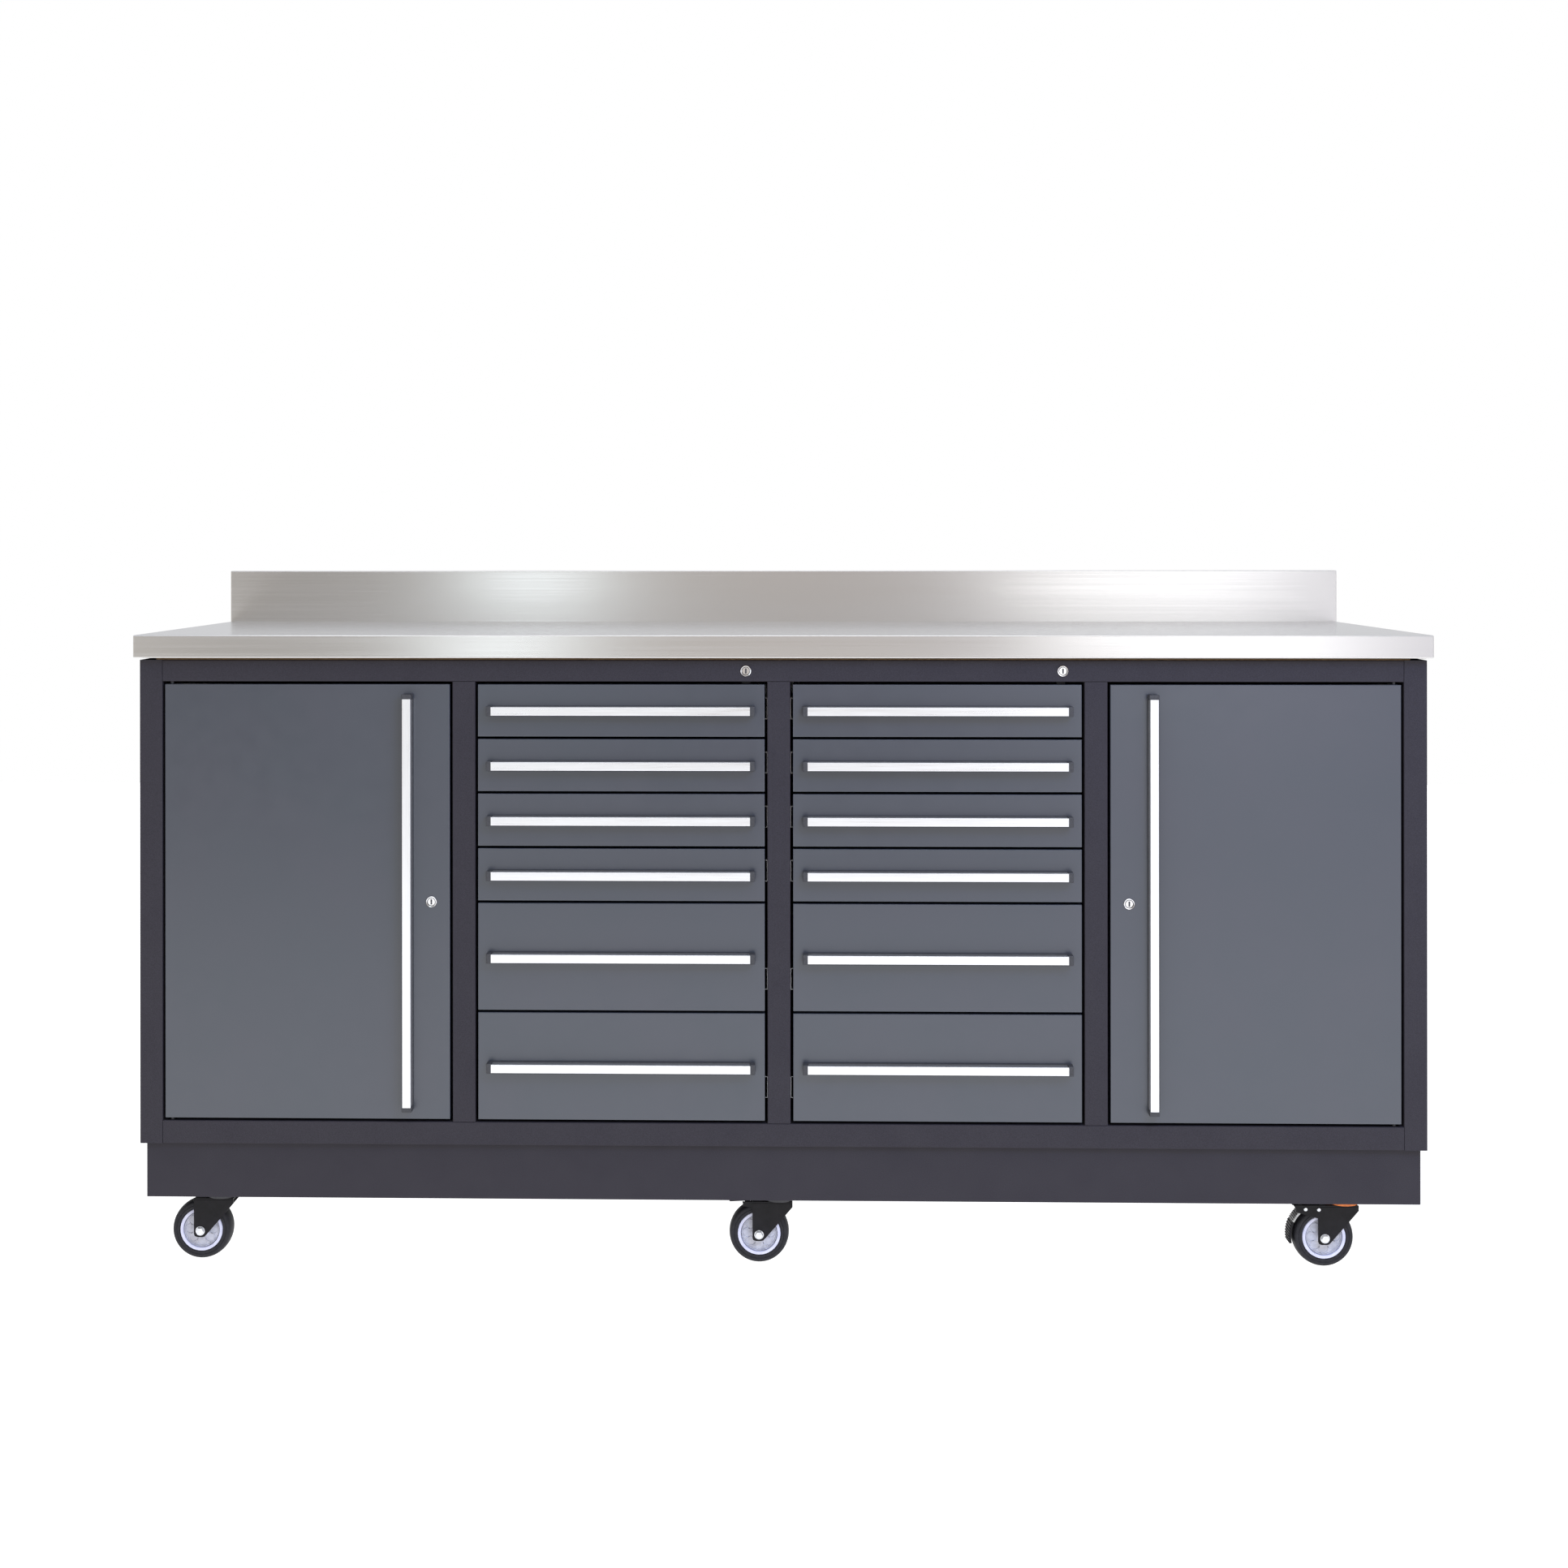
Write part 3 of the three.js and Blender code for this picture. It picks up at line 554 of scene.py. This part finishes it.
for node in ("worktop_board",):
    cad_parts[node].data.materials.clear()
    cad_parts[node].data.materials.append(MATERIALS["board"])

# %% Backsplash
lo, hi = limits("backsplash")
splash = block(lo, hi)
bmesh.ops.delete(splash, geom=facing(splash, 2, -1), context="FACES")
thicken(splash, 1.2)
open_foot = at_level(2, lo.z)
round_off(splash, 1.6, 4, lambda e: outer_edge(lo, hi)(e) and not open_foot(e))
piece("backsplash_folded", splash, ROOT, "stainless", ["backsplash"])

# %% [markdown]
# ## The cabinet shell
# The shell is 1.5 mm sheet. Each side is one long fold: rear flange, side, corner post and the post's
# return. Each divider is a deep channel whose closed end is the stile between two bays. The rails are
# channels too. A real fold has an outside radius of about the sheet's thickness, so each one catches a
# thin line of light.

# %% Sides, dividers and rails
SHEET, FOLD = 1.5, 1.8
for side, sign in (("left", -1), ("right", 1)):
    lo, hi = limits(f"side_{side}")
    outer, inner = (lo.x, hi.x) if sign < 0 else (hi.x, lo.x)
    path = [
        (outer - sign * 25, hi.y),
        (outer, hi.y),
        (outer, lo.y),
        (inner, lo.y),
        (inner, lo.y + 28),
        (inner + sign * 19, lo.y + 28),
    ]
    sheet = folded_sheet(path, "Z", (lo.z, hi.z), SHEET, FOLD)
    piece(f"side_{side}_folded", sheet, ROOT, "body_paint", [f"side_{side}"])

STILE = 38
STILES = {"left": -520.5, "centre": 0, "right": 520.5}
for name, centre in STILES.items():
    lo, hi = limits(f"divider_{name}")
    left, right = centre - STILE / 2, centre + STILE / 2
    path = [(left, hi.y), (left, lo.y), (right, lo.y), (right, hi.y)]
    sheet = folded_sheet(path, "Z", (lo.z + 0.4, hi.z - 0.1), SHEET, FOLD)
    piece(f"divider_{name}_folded", sheet, ROOT, "body_paint", [f"divider_{name}"])

lo, hi = limits("top_rail")
path = [(hi.y, lo.z), (lo.y, lo.z), (lo.y, hi.z), (hi.y, hi.z)]
sheet = folded_sheet(path, "X", (lo.x + 0.4, hi.x - 0.4), SHEET, FOLD)
piece("top_rail_folded", sheet, ROOT, "body_paint", ["top_rail"])

# %% Floor with the bottom rail, and its two wings behind the corner posts
lo, hi = limits("floor_pan")
rail_end = limits("top_rail")[1].x
path = [(lo.y + 26, lo.z), (lo.y, lo.z), (lo.y, hi.z), (hi.y, hi.z), (hi.y, lo.z)]
pan = folded_sheet(path, "X", (-rail_end + 0.4, rail_end - 0.4), SHEET, FOLD)
wings = []
for sign in (-1, 1):
    inner, outer = sorted((sign * rail_end, sign * (rail_end + 36)))
    wings.append(block((inner, lo.y + 29, hi.z - SHEET), (outer, hi.y, hi.z)))
piece("floor_pan_folded", gather([pan, *wings]), ROOT, "body_paint", ["floor_pan"])

# %% Back panel, held by rows of domed rivets
lo, hi = limits("back_panel")
back = [block(lo, hi)]
RIVETS_ACROSS = 15
for i in range(RIVETS_ACROSS):
    x = lo.x + 45 + i * (hi.x - lo.x - 90) / (RIVETS_ACROSS - 1)
    for z in (lo.z + 18, hi.z - 18):
        back.append(disc(4, "Y", (x, hi.y, z), (-0.5, 1.3), 0.8, 16))
piece("back_panel_riveted", gather(back), ROOT, "body_paint", ["back_panel"])

# %% Shelves, each on four clips
for side in ("left", "right"):
    lo, hi = limits(f"shelf_{side}")
    path = [(lo.y + 12, lo.z), (lo.y, lo.z), (lo.y, hi.z), (hi.y, hi.z), (hi.y, lo.z)]
    shelf = folded_sheet(path, "X", (lo.x + 1, hi.x - 1), 1.2, 1.5)
    piece(f"shelf_{side}_folded", shelf, ROOT, "body_paint", [f"shelf_{side}"])
    clips = [block((x, y - 9, lo.z - 8), (x + 14, y + 9, lo.z - 0.2))
             for x in (lo.x + 0.5, hi.x - 14.5) for y in (lo.y + 60, hi.y - 60)]
    piece(f"shelf_{side}_clips", gather([round_off(c, 1, 2) for c in clips]), ROOT, "bolt_zinc")

# %% Plinth: a closed skirt with three bearers across it
lo, hi = limits("plinth")
skirt_line = [(lo.x, lo.y), (hi.x, lo.y), (hi.x, hi.y), (lo.x, hi.y)]
skirt = folded_sheet(skirt_line, "Z", (lo.z, hi.z), 2, 2.5, closed=True)
castor_ends = {name: limits(f"castor_wheel_{name}") for name in
               ("front_left", "front_centre", "front_right", "rear_left", "rear_centre", "rear_right")}
TRAIL, AXLE = 34, 50
swivels = {name: ((a.x + b.x) / 2 + TRAIL, (a.y + b.y) / 2) for name, (a, b) in castor_ends.items()}
bearer_at = [swivels[f"front_{side}"][0] for side in ("left", "centre", "right")]
bearers = [block((x - 70, lo.y + 2, lo.z), (x + 70, hi.y - 2, lo.z + 3)) for x in bearer_at]
piece("plinth_welded", gather([skirt, *bearers]), ROOT, "body_paint", ["plinth"])
# A thin black strip round the plinth's top, a little proud of it, is painted shadow: it draws the dark line
# of shade under the cabinet's bottom rail.
PROUD = 0.3
west, east, front, rear = lo.x - PROUD, hi.x + PROUD, lo.y - PROUD, hi.y + PROUD
shadow_strip_line = [(west, front), (east, front), (east, rear), (west, rear)]
shadow_strip = folded_sheet(shadow_strip_line, "Z", (hi.z - 1.8, hi.z - 0.1), 1, 2.5, closed=True)
piece("plinth_shadow_strip", shadow_strip, ROOT, "end_cap")

# %% [markdown]
# ## Fronts
# A door or drawer front is a shallow pan. Its face is flat, its four front edges are folded with a radius
# of about 1.5 mm, and its back is open on a drawer and closed by a recessed inner panel on a door. The
# radius is what draws the light lines along the gaps, so it is modelled and not left to the shading.

# %% A front pan
FRONT_EDGE = 1.6


def front_pan(lo, hi, rim, recess):
    """A pan between two corners, its face towards -Y, with a recess in its back inside a rim."""
    pan = block(lo, hi)
    back = [f for f in facing(pan, 1, 1) if f.calc_center_median().y > hi.y - 0.1]
    bmesh.ops.inset_region(pan, faces=back, thickness=rim)
    sunk = bmesh.ops.extrude_face_region(pan, geom=back)["geom"]
    bmesh.ops.delete(pan, geom=back, context="FACES")
    floor_corners = [v for v in sunk if isinstance(v, bmesh.types.BMVert)]
    bmesh.ops.translate(pan, verts=floor_corners, vec=(0, -recess, 0))
    round_off(pan, FRONT_EDGE, 3, at_level(1, lo.y))
    round_off(pan, 0.8, 2, lambda e: along_axis(1)(e) and outer_edge(lo, hi)(e))
    bmesh.ops.recalc_face_normals(pan, faces=pan.faces)
    return pan


# %% [markdown]
# ## Handles
# A handle is one aluminium extrusion: a face that stands off the front, and a web back to it. On a drawer
# it opens downwards, and on a door towards the hinge. Black sheets behind, above and below the bar are
# painted shade: they show as a thin dark rim around it, where its shadow falls. A black cap closes each
# end. Each handle is made lying along X with its web on top, and then turned for a door.

# %% A handle
CAP, RIM, SHADE_SHEET = 8, 1.25, 1.2


def handle(name, node, body, axis, hinge=0):
    """A handle that stands for its CAD node: along X on a drawer, or along Z on a door hinged at one side."""
    lo, hi = limits(node)
    middle = (lo + hi) / 2
    size = hi - lo
    half, tall = (size.x / 2, size.z / 2) if axis == "X" else (size.z / 2, size.x / 2)
    back, face = size.y / 2, -size.y / 2
    path = [(back, tall - RIM), (face, tall - RIM), (face, RIM - tall), (face + 3, RIM - tall)]
    bar = folded_sheet(path, "X", (-half, half), 1.6, 1.0)
    # The wall, sill and lip are black sheets of painted shade round the bar; the two ends are real end caps.
    wall = block((-half, back - SHADE_SHEET, -tall), (half, back, tall))
    sill = block((-half, face + 0.8, -tall), (half, face + 5, RIM - tall + 0.3))
    lip = block((-half, back - 3.5, tall - RIM), (half, back - SHADE_SHEET + 0.2, tall))
    ends = [block((x, face + 0.5, -tall), (x + CAP + 1, back, tall)) for x in (-half - CAP, half - 1)]
    dark = gather([wall, sill, lip] + [round_off(end, 1.2, 3) for end in ends])
    turn = Matrix.Identity(4) if axis == "X" else Matrix.Rotation(-hinge * math.pi / 2, 4, "Y")
    for shape in (bar, dark):
        bmesh.ops.transform(shape, matrix=Matrix.Translation(middle) @ turn, verts=shape.verts)
    finish = "aluminium_across" if axis == "X" else "aluminium_up"
    piece(name, bar, body, finish, [node])
    piece(f"{name}_liner", dark, body, "end_cap")


# %% [markdown]
# ## Locks
# A cam lock shows a chrome collar and, inside it, a plug with a keyway. The collar stays with the door or
# rail. The plug, its barrel and the cam behind turn together when the key turns.


# %% Locks
def key_lock(name, node, collar_body, face):
    """A lock whose plug and cam stand for the CAD node. face is the place of the front in Y."""
    lo, hi = limits(node)
    x, z = (lo.x + hi.x) / 2, hi.z - 10
    profile = [(7.1, 0), (9.4, 0), (9.4, -1.0), (9.0, -1.9), (8.4, -2.4), (7.5, -2.3), (7.1, -1.8)]
    piece(f"{name}_collar", turned(profile, "Y", (x, face, z), 40), collar_body, "lock_chrome")
    plug = disc(6.3, "Y", (x, face, z), (-1.9, 27.5), 0.5, 36)
    slot = block((x - 1.3, face - 2.3, z - 4.2), (x + 1.3, face - 1.85, z + 4.2))
    cam = round_off(block((x - 7, hi.y - 2, lo.z), (x + 7, hi.y, z + 7)), 2.5, 3, along_axis(1))
    nut = disc(9, "Y", (x, face, z), (23, 26.5), 0.5, 6)
    piece(f"{name}_plug", gather([plug, nut]), node, "lock_chrome", [node])
    piece(f"{name}_keyway", gather([slot, cam]), node, "end_cap")


# %% Doors
for side, hinge in (("left", -1), ("right", 1)):
    node = f"door_{side}"
    lo, hi = limits(node)
    pin_reach = 9.5
    lo.z += pin_reach
    hi.z -= pin_reach
    pan = front_pan(lo, hi, 20, 9)
    pin_x = (lo.x if hinge < 0 else hi.x) - hinge * 10
    pins = [disc(3, "Z", (pin_x, lo.y + 9, 0), span, 0.6, 20)
            for span in ((lo.z - pin_reach, lo.z + 1), (hi.z - 1, hi.z + pin_reach))]
    piece(f"door_{side}_pan", pan, node, "front_paint", [node])
    piece(f"door_{side}_pins", gather(pins), node, "end_cap")
    handle(f"door_{side}_pull", f"door_handle_{side}", node, "Z", hinge)
    key_lock(f"door_{side}_lock", f"door_lock_{side}", node, lo.y)

rail_face = limits("top_rail")[0].y
for side in ("left", "right"):
    key_lock(f"rail_{side}_lock", f"drawer_lock_{side}", ROOT, rail_face)

# %% [markdown]
# ## Drawers
# Behind each front is a box of 1 mm sheet with a small flange round its rim, on a pair of ball-bearing
# slides. The fixed half of each slide is on the divider, and the moving half is on the box. A ribbed
# liner lies in the box.

# %% Drawers
BOX_INSET, FLOOR_ABOVE, TOP_BELOW, FRONT_DEPTH = 8.75, 10, 10.5, 18
SLIDE_CENTRE, SLIDE_LENGTH = 43, 500
fixed_rails = []
for column in ("left", "right"):
    for row in range(1, 7):
        node = f"drawer_{column}_{row}"
        lo, hi = limits(node)
        face_back = lo.y + FRONT_DEPTH
        pan = front_pan(lo, Vector((hi.x, face_back, hi.z)), 1.4, FRONT_DEPTH - 1.6)
        piece(f"{node}_front", pan, node, "front_paint", [node])

        box_lo = Vector((lo.x + BOX_INSET, face_back - 1, lo.z + FLOOR_ABOVE))
        box_hi = Vector((hi.x - BOX_INSET, hi.y, hi.z - TOP_BELOW))
        box = block(box_lo, box_hi)
        mouth = facing(box, 2, 1)
        bmesh.ops.inset_region(box, faces=mouth, thickness=6)
        bmesh.ops.delete(box, geom=mouth, context="FACES")
        round_off(thicken(box, 1), 0.8, 2, outer_edge(box_lo, box_hi))
        ears = [block((x, lo.y + 2, box_lo.z), (x + 1, face_back, box_hi.z))
                for x in (box_lo.x, box_hi.x - 1)]
        piece(f"{node}_box", gather([box, *ears]), node, "body_paint")

        caps_and_shade = block((box_lo.x + 4, box_lo.y + 4, box_lo.z + 1.1),
                      (box_hi.x - 4, box_hi.y - 4, box_lo.z + 3.1))
        piece(f"{node}_liner", round_off(caps_and_shade, 0.6, 1), node, "drawer_mat")

        centre = lo.z + SLIDE_CENTRE
        members = []
        for sign, wall in ((-1, box_lo.x), (1, box_hi.x)):
            open_side = wall + sign * 5.3
            path = [(open_side, centre - 12), (wall, centre - 12),
                    (wall, centre + 12), (open_side, centre + 12)]
            members.append(folded_sheet(path, "Y", (lo.y + 25, lo.y + 25 + SLIDE_LENGTH), 1.2, 1.5))
            post = wall + sign * 13
            open_side = post - sign * 6.3
            path = [(open_side, centre - 18), (post, centre - 18),
                    (post, centre + 18), (open_side, centre + 18)]
            fixed_rails.append(folded_sheet(path, "Y", (lo.y + 50, lo.y + 50 + SLIDE_LENGTH), 1.2, 1.5))
        piece(f"{node}_slides", gather(members), node, "slide_zinc")
        handle(f"{node}_pull", f"drawer_handle_{column}_{row}", node, "X")
piece("slide_rails", gather(fixed_rails), ROOT, "slide_zinc")

# %% [markdown]
# ## Castors
# A castor is a pressed fork that turns under a plate on a race of balls, with the wheel trailing behind
# the swivel. The wheel is a rubber tyre round a light ring and a grey hub. The right front castor has a
# brake: a lever with a toothed shoe and a ribbed pedal that hug the tyre. The centre one has only a plain
# pedal.

# %% Wheels
HUB_RIBS = 8


def wheel(name, x, y):
    """A wheel about an axle along Y: tyre, ring, hub with arched ribs, and boss."""
    body, node = f"wheel_{name}", f"castor_wheel_{name}"
    centre = (x, y, AXLE)
    half = [(36.2, 14.2), (37.0, 15.6), (41.0, 16.0), (41.6, 15.4), (42.4, 16.0), (45.5, 15.8),
            (47.3, 14.6), (48.6, 12.0), (49.5, 8.0), (50.0, 3.0)]
    tyre = turned([(r, -w) for r, w in half] + [(r, w) for r, w in reversed(half)], "Y", centre, 72)
    piece(f"{name}_tyre", tyre, body, "wheel_rubber", [node])
    ring_half = [(30.2, 12.5), (30.6, 15.2), (31.2, 15.8), (35.2, 15.8), (35.8, 15.2), (36.2, 12.5)]
    ring = turned([(r, -w) for r, w in ring_half] + [(r, w) for r, w in reversed(ring_half)], "Y", centre, 72)
    piece(f"{name}_ring", ring, body, "wheel_ring")
    hub_half = [(5.6, 17.6), (10.5, 17.6), (11.5, 16.8), (12.2, 13.2), (14.0, 11.8),
                (27.6, 11.4), (28.6, 13.6), (29.4, 13.6), (29.8, 12.0)]
    hub = [turned([(r, -w) for r, w in hub_half] + [(r, w) for r, w in reversed(hub_half)], "Y", centre, 64)]
    for side in (-1, 1):
        for k in range(HUB_RIBS):
            angle = k * math.tau / HUB_RIBS
            round_tube = [i * math.tau / 6 for i in range(6)]
            tube = [(7.6 + 0.9 * math.cos(t), 0.9 * math.sin(t)) for t in round_tube]
            place = (x + 20 * math.cos(angle), y + side * 11.6, AXLE + 20 * math.sin(angle))
            hub.append(turned(tube, "Y", place, 24))
    piece(f"{name}_hub", gather(hub), body, "wheel_hub")


# %% Forks
LEG_INNER, LEG_OUTER, CROWN = 19.5, 22.5, 105
LEG = [(56, 55), (-11, 55), (-11, -6), (-9.5, -9.5), (-5, -11), (3, -11), (7, -10), (10, -7), (56, 46)]
PEDAL_WING = [(56, 55), (-28, 55), (-26, 47), (-11, 45)] + LEG[2:]
SHOE_WING = [(56, 55), (-52, 55), (-44, 42), (-11, 33)] + LEG[2:]


def fork(name, x, y, outline, seal):
    """A fork that turns on its swivel: legs, crown, lower race, seal, and the bolt through the wheel."""
    body, node = f"castor_{name}", f"castor_fork_{name}"
    axle_x = x - TRAIL
    leg_line = [(axle_x + a, AXLE + b) for a, b in outline]
    legs = [plate(leg_line, "Y", (y + s * LEG_INNER, y + s * LEG_OUTER), 0.7) for s in (-1, 1)]
    crown = block((axle_x - 11, y - LEG_OUTER, CROWN - 3), (axle_x + 56, y + LEG_OUTER, CROWN))
    round_off(crown, 2.5, 3, lambda e: at_level(2, CROWN)(e))
    pivot_half = [(0, CROWN - 1), (19.4, CROWN - 1), (19.4, CROWN + 5.7), (0, CROWN + 5.7)]
    lower = turned(pivot_half, "Z", (x, y, 0), 48)
    piece(f"{name}_fork", gather([*legs, crown, lower]), body, "castor_black", [node])
    seal_half = [(20, CROWN + 0.3), (27.6, CROWN + 0.3), (28.4, CROWN + 1.2),
                 (28.4, CROWN + 4.6), (27.4, CROWN + 5.6), (20, CROWN + 5.6)]
    ring = turned(seal_half, "Z", (x, y, 0), 48)
    piece(f"{name}_seal", ring, body, seal)
    bolt = [disc(4.9, "Y", (axle_x, y, AXLE), (-LEG_OUTER - 2, LEG_OUTER + 3.5), 0.5, 24)]
    for s in (-1, 1):
        face = s * LEG_OUTER
        bolt.append(disc(7.8, "Y", (axle_x, y, AXLE), tuple(sorted((face, face + s * 1.2))), 0.3, 32))
        bolt.append(disc(7.0, "Y", (axle_x, y, AXLE), tuple(sorted((face + s * 1.2, face + s * 5))), 0.9, 6))
    piece(f"{name}_axle", gather(bolt), body, "bolt_zinc")
    upper = turned([(0, 110.9), (28.6, 110.9), (30, 112), (30, 117), (0, 117)], "Z", (x, y, 0), 48)
    top = round_off(block((x - 45, y - 35, 117), (x + 45, y + 35, 120)), 6, 3, along_axis(2))
    heads = [disc(6.5, "Z", (x + a, y + b, 0), (113.4, 117.2), 0.8, 6) for a in (-36, 36) for b in (-26, 26)]
    piece(f"{name}_plate", gather([upper, top, *heads]), ROOT, "castor_black")


# %% Brakes
BRAKE_HALF = 13


def arc_plate(x, y, radii, angles, steps):
    """A curved bar round the axle between two radii and two angles, as wide as the brake."""
    turn = [math.radians(angles[0] + (angles[1] - angles[0]) * i / steps) for i in range(steps + 1)]
    outer = [(x + radii[1] * math.cos(t), AXLE + radii[1] * math.sin(t)) for t in turn]
    inner = [(x + radii[0] * math.cos(t), AXLE + radii[0] * math.sin(t)) for t in reversed(turn)]
    return plate(outer + inner, "Y", (y - BRAKE_HALF, y + BRAKE_HALF), 0.5)


def teeth(x, y, radius, angles, count, size):
    """A row of small ribs round the outside of a curved bar."""
    made_teeth = []
    for i in range(count):
        angle = math.radians(angles[0] + (angles[1] - angles[0]) * (i + 0.5) / count)
        tooth = round_off(block((-size, -BRAKE_HALF, -size / 2), (size, BRAKE_HALF, size / 2)), 0.3, 1)
        outwards = Matrix.Rotation(-angle, 4, "Y") @ Matrix.Translation((radius, 0, 0))
        turn = Matrix.Translation((x, y, AXLE)) @ outwards
        bmesh.ops.transform(tooth, matrix=turn, verts=tooth.verts)
        made_teeth.append(tooth)
    return made_teeth


def pedal_outline(pivot, end):
    """A thin lever with a round nose, from the pivot to its end."""
    (px, pz), (ex, ez) = pivot, end
    return [(px, pz - 2), (px, pz + 2), (ex + 1.5, ez + 2), (ex, ez + 1), (ex, ez - 1), (ex + 1.5, ez - 2)]


swivel_x, swivel_y = swivels["front_centre"]
axle_x = swivel_x - TRAIL
pivot = (axle_x - 20, AXLE + 55.5)
lever = [plate(pedal_outline(pivot, (axle_x - 50, AXLE + 54)), "Y", (swivel_y - 13, swivel_y + 13), 0.8)]
lever.append(disc(5, "Y", (pivot[0], swivel_y, pivot[1]), (-13, 13), 0.6, 24))
piece("front_centre_pedal", gather(lever), "brake_front_centre", "castor_black",
      ["castor_brake_front_centre"])

swivel_x, swivel_y = swivels["front_right"]
axle_x = swivel_x - TRAIL
pivot = (axle_x - 32, AXLE + 54)
lever = [plate(pedal_outline(pivot, (axle_x - 72, AXLE + 61)), "Y", (swivel_y - 13, swivel_y + 13), 0.8)]
lever.append(disc(5, "Y", (pivot[0], swivel_y, pivot[1]), (-13, 13), 0.6, 24))
lever.append(arc_plate(axle_x, swivel_y, (53.5, 57.5), (155, 192), 8))
lever += teeth(axle_x, swivel_y, 57.2, (156, 191), 8, 1.4)
piece("front_right_pedal", gather(lever), "brake_front_right", "castor_black",
      ["castor_brake_front_right"])
shoe = [arc_plate(axle_x, swivel_y, (53.6, 57), (119, 154.5), 8)]
shoe += teeth(axle_x, swivel_y, 56.8, (122, 154), 9, 1.2)
piece("front_right_shoe", gather(shoe), "brake_front_right", "brake_steel")
rivets = [disc(3.2, "Y", (axle_x + a, swivel_y, AXLE + b), (-LEG_OUTER - 1.4, -LEG_OUTER + 0.5), 0.6, 20)
          for a, b in ((-32, 48.5), (-10, 48))]
piece("front_right_rivets", gather(rivets), "castor_front_right", "bolt_zinc")

# %% Six castors
OUTLINES = {"front_centre": PEDAL_WING, "front_right": SHOE_WING}
for name, (x, y) in swivels.items():
    wheel(name, x - TRAIL, y)
    fork(name, x, y, OUTLINES.get(name, LEG), "seal_orange" if name == "front_right" else "end_cap")
print(len(made), "pieces made")
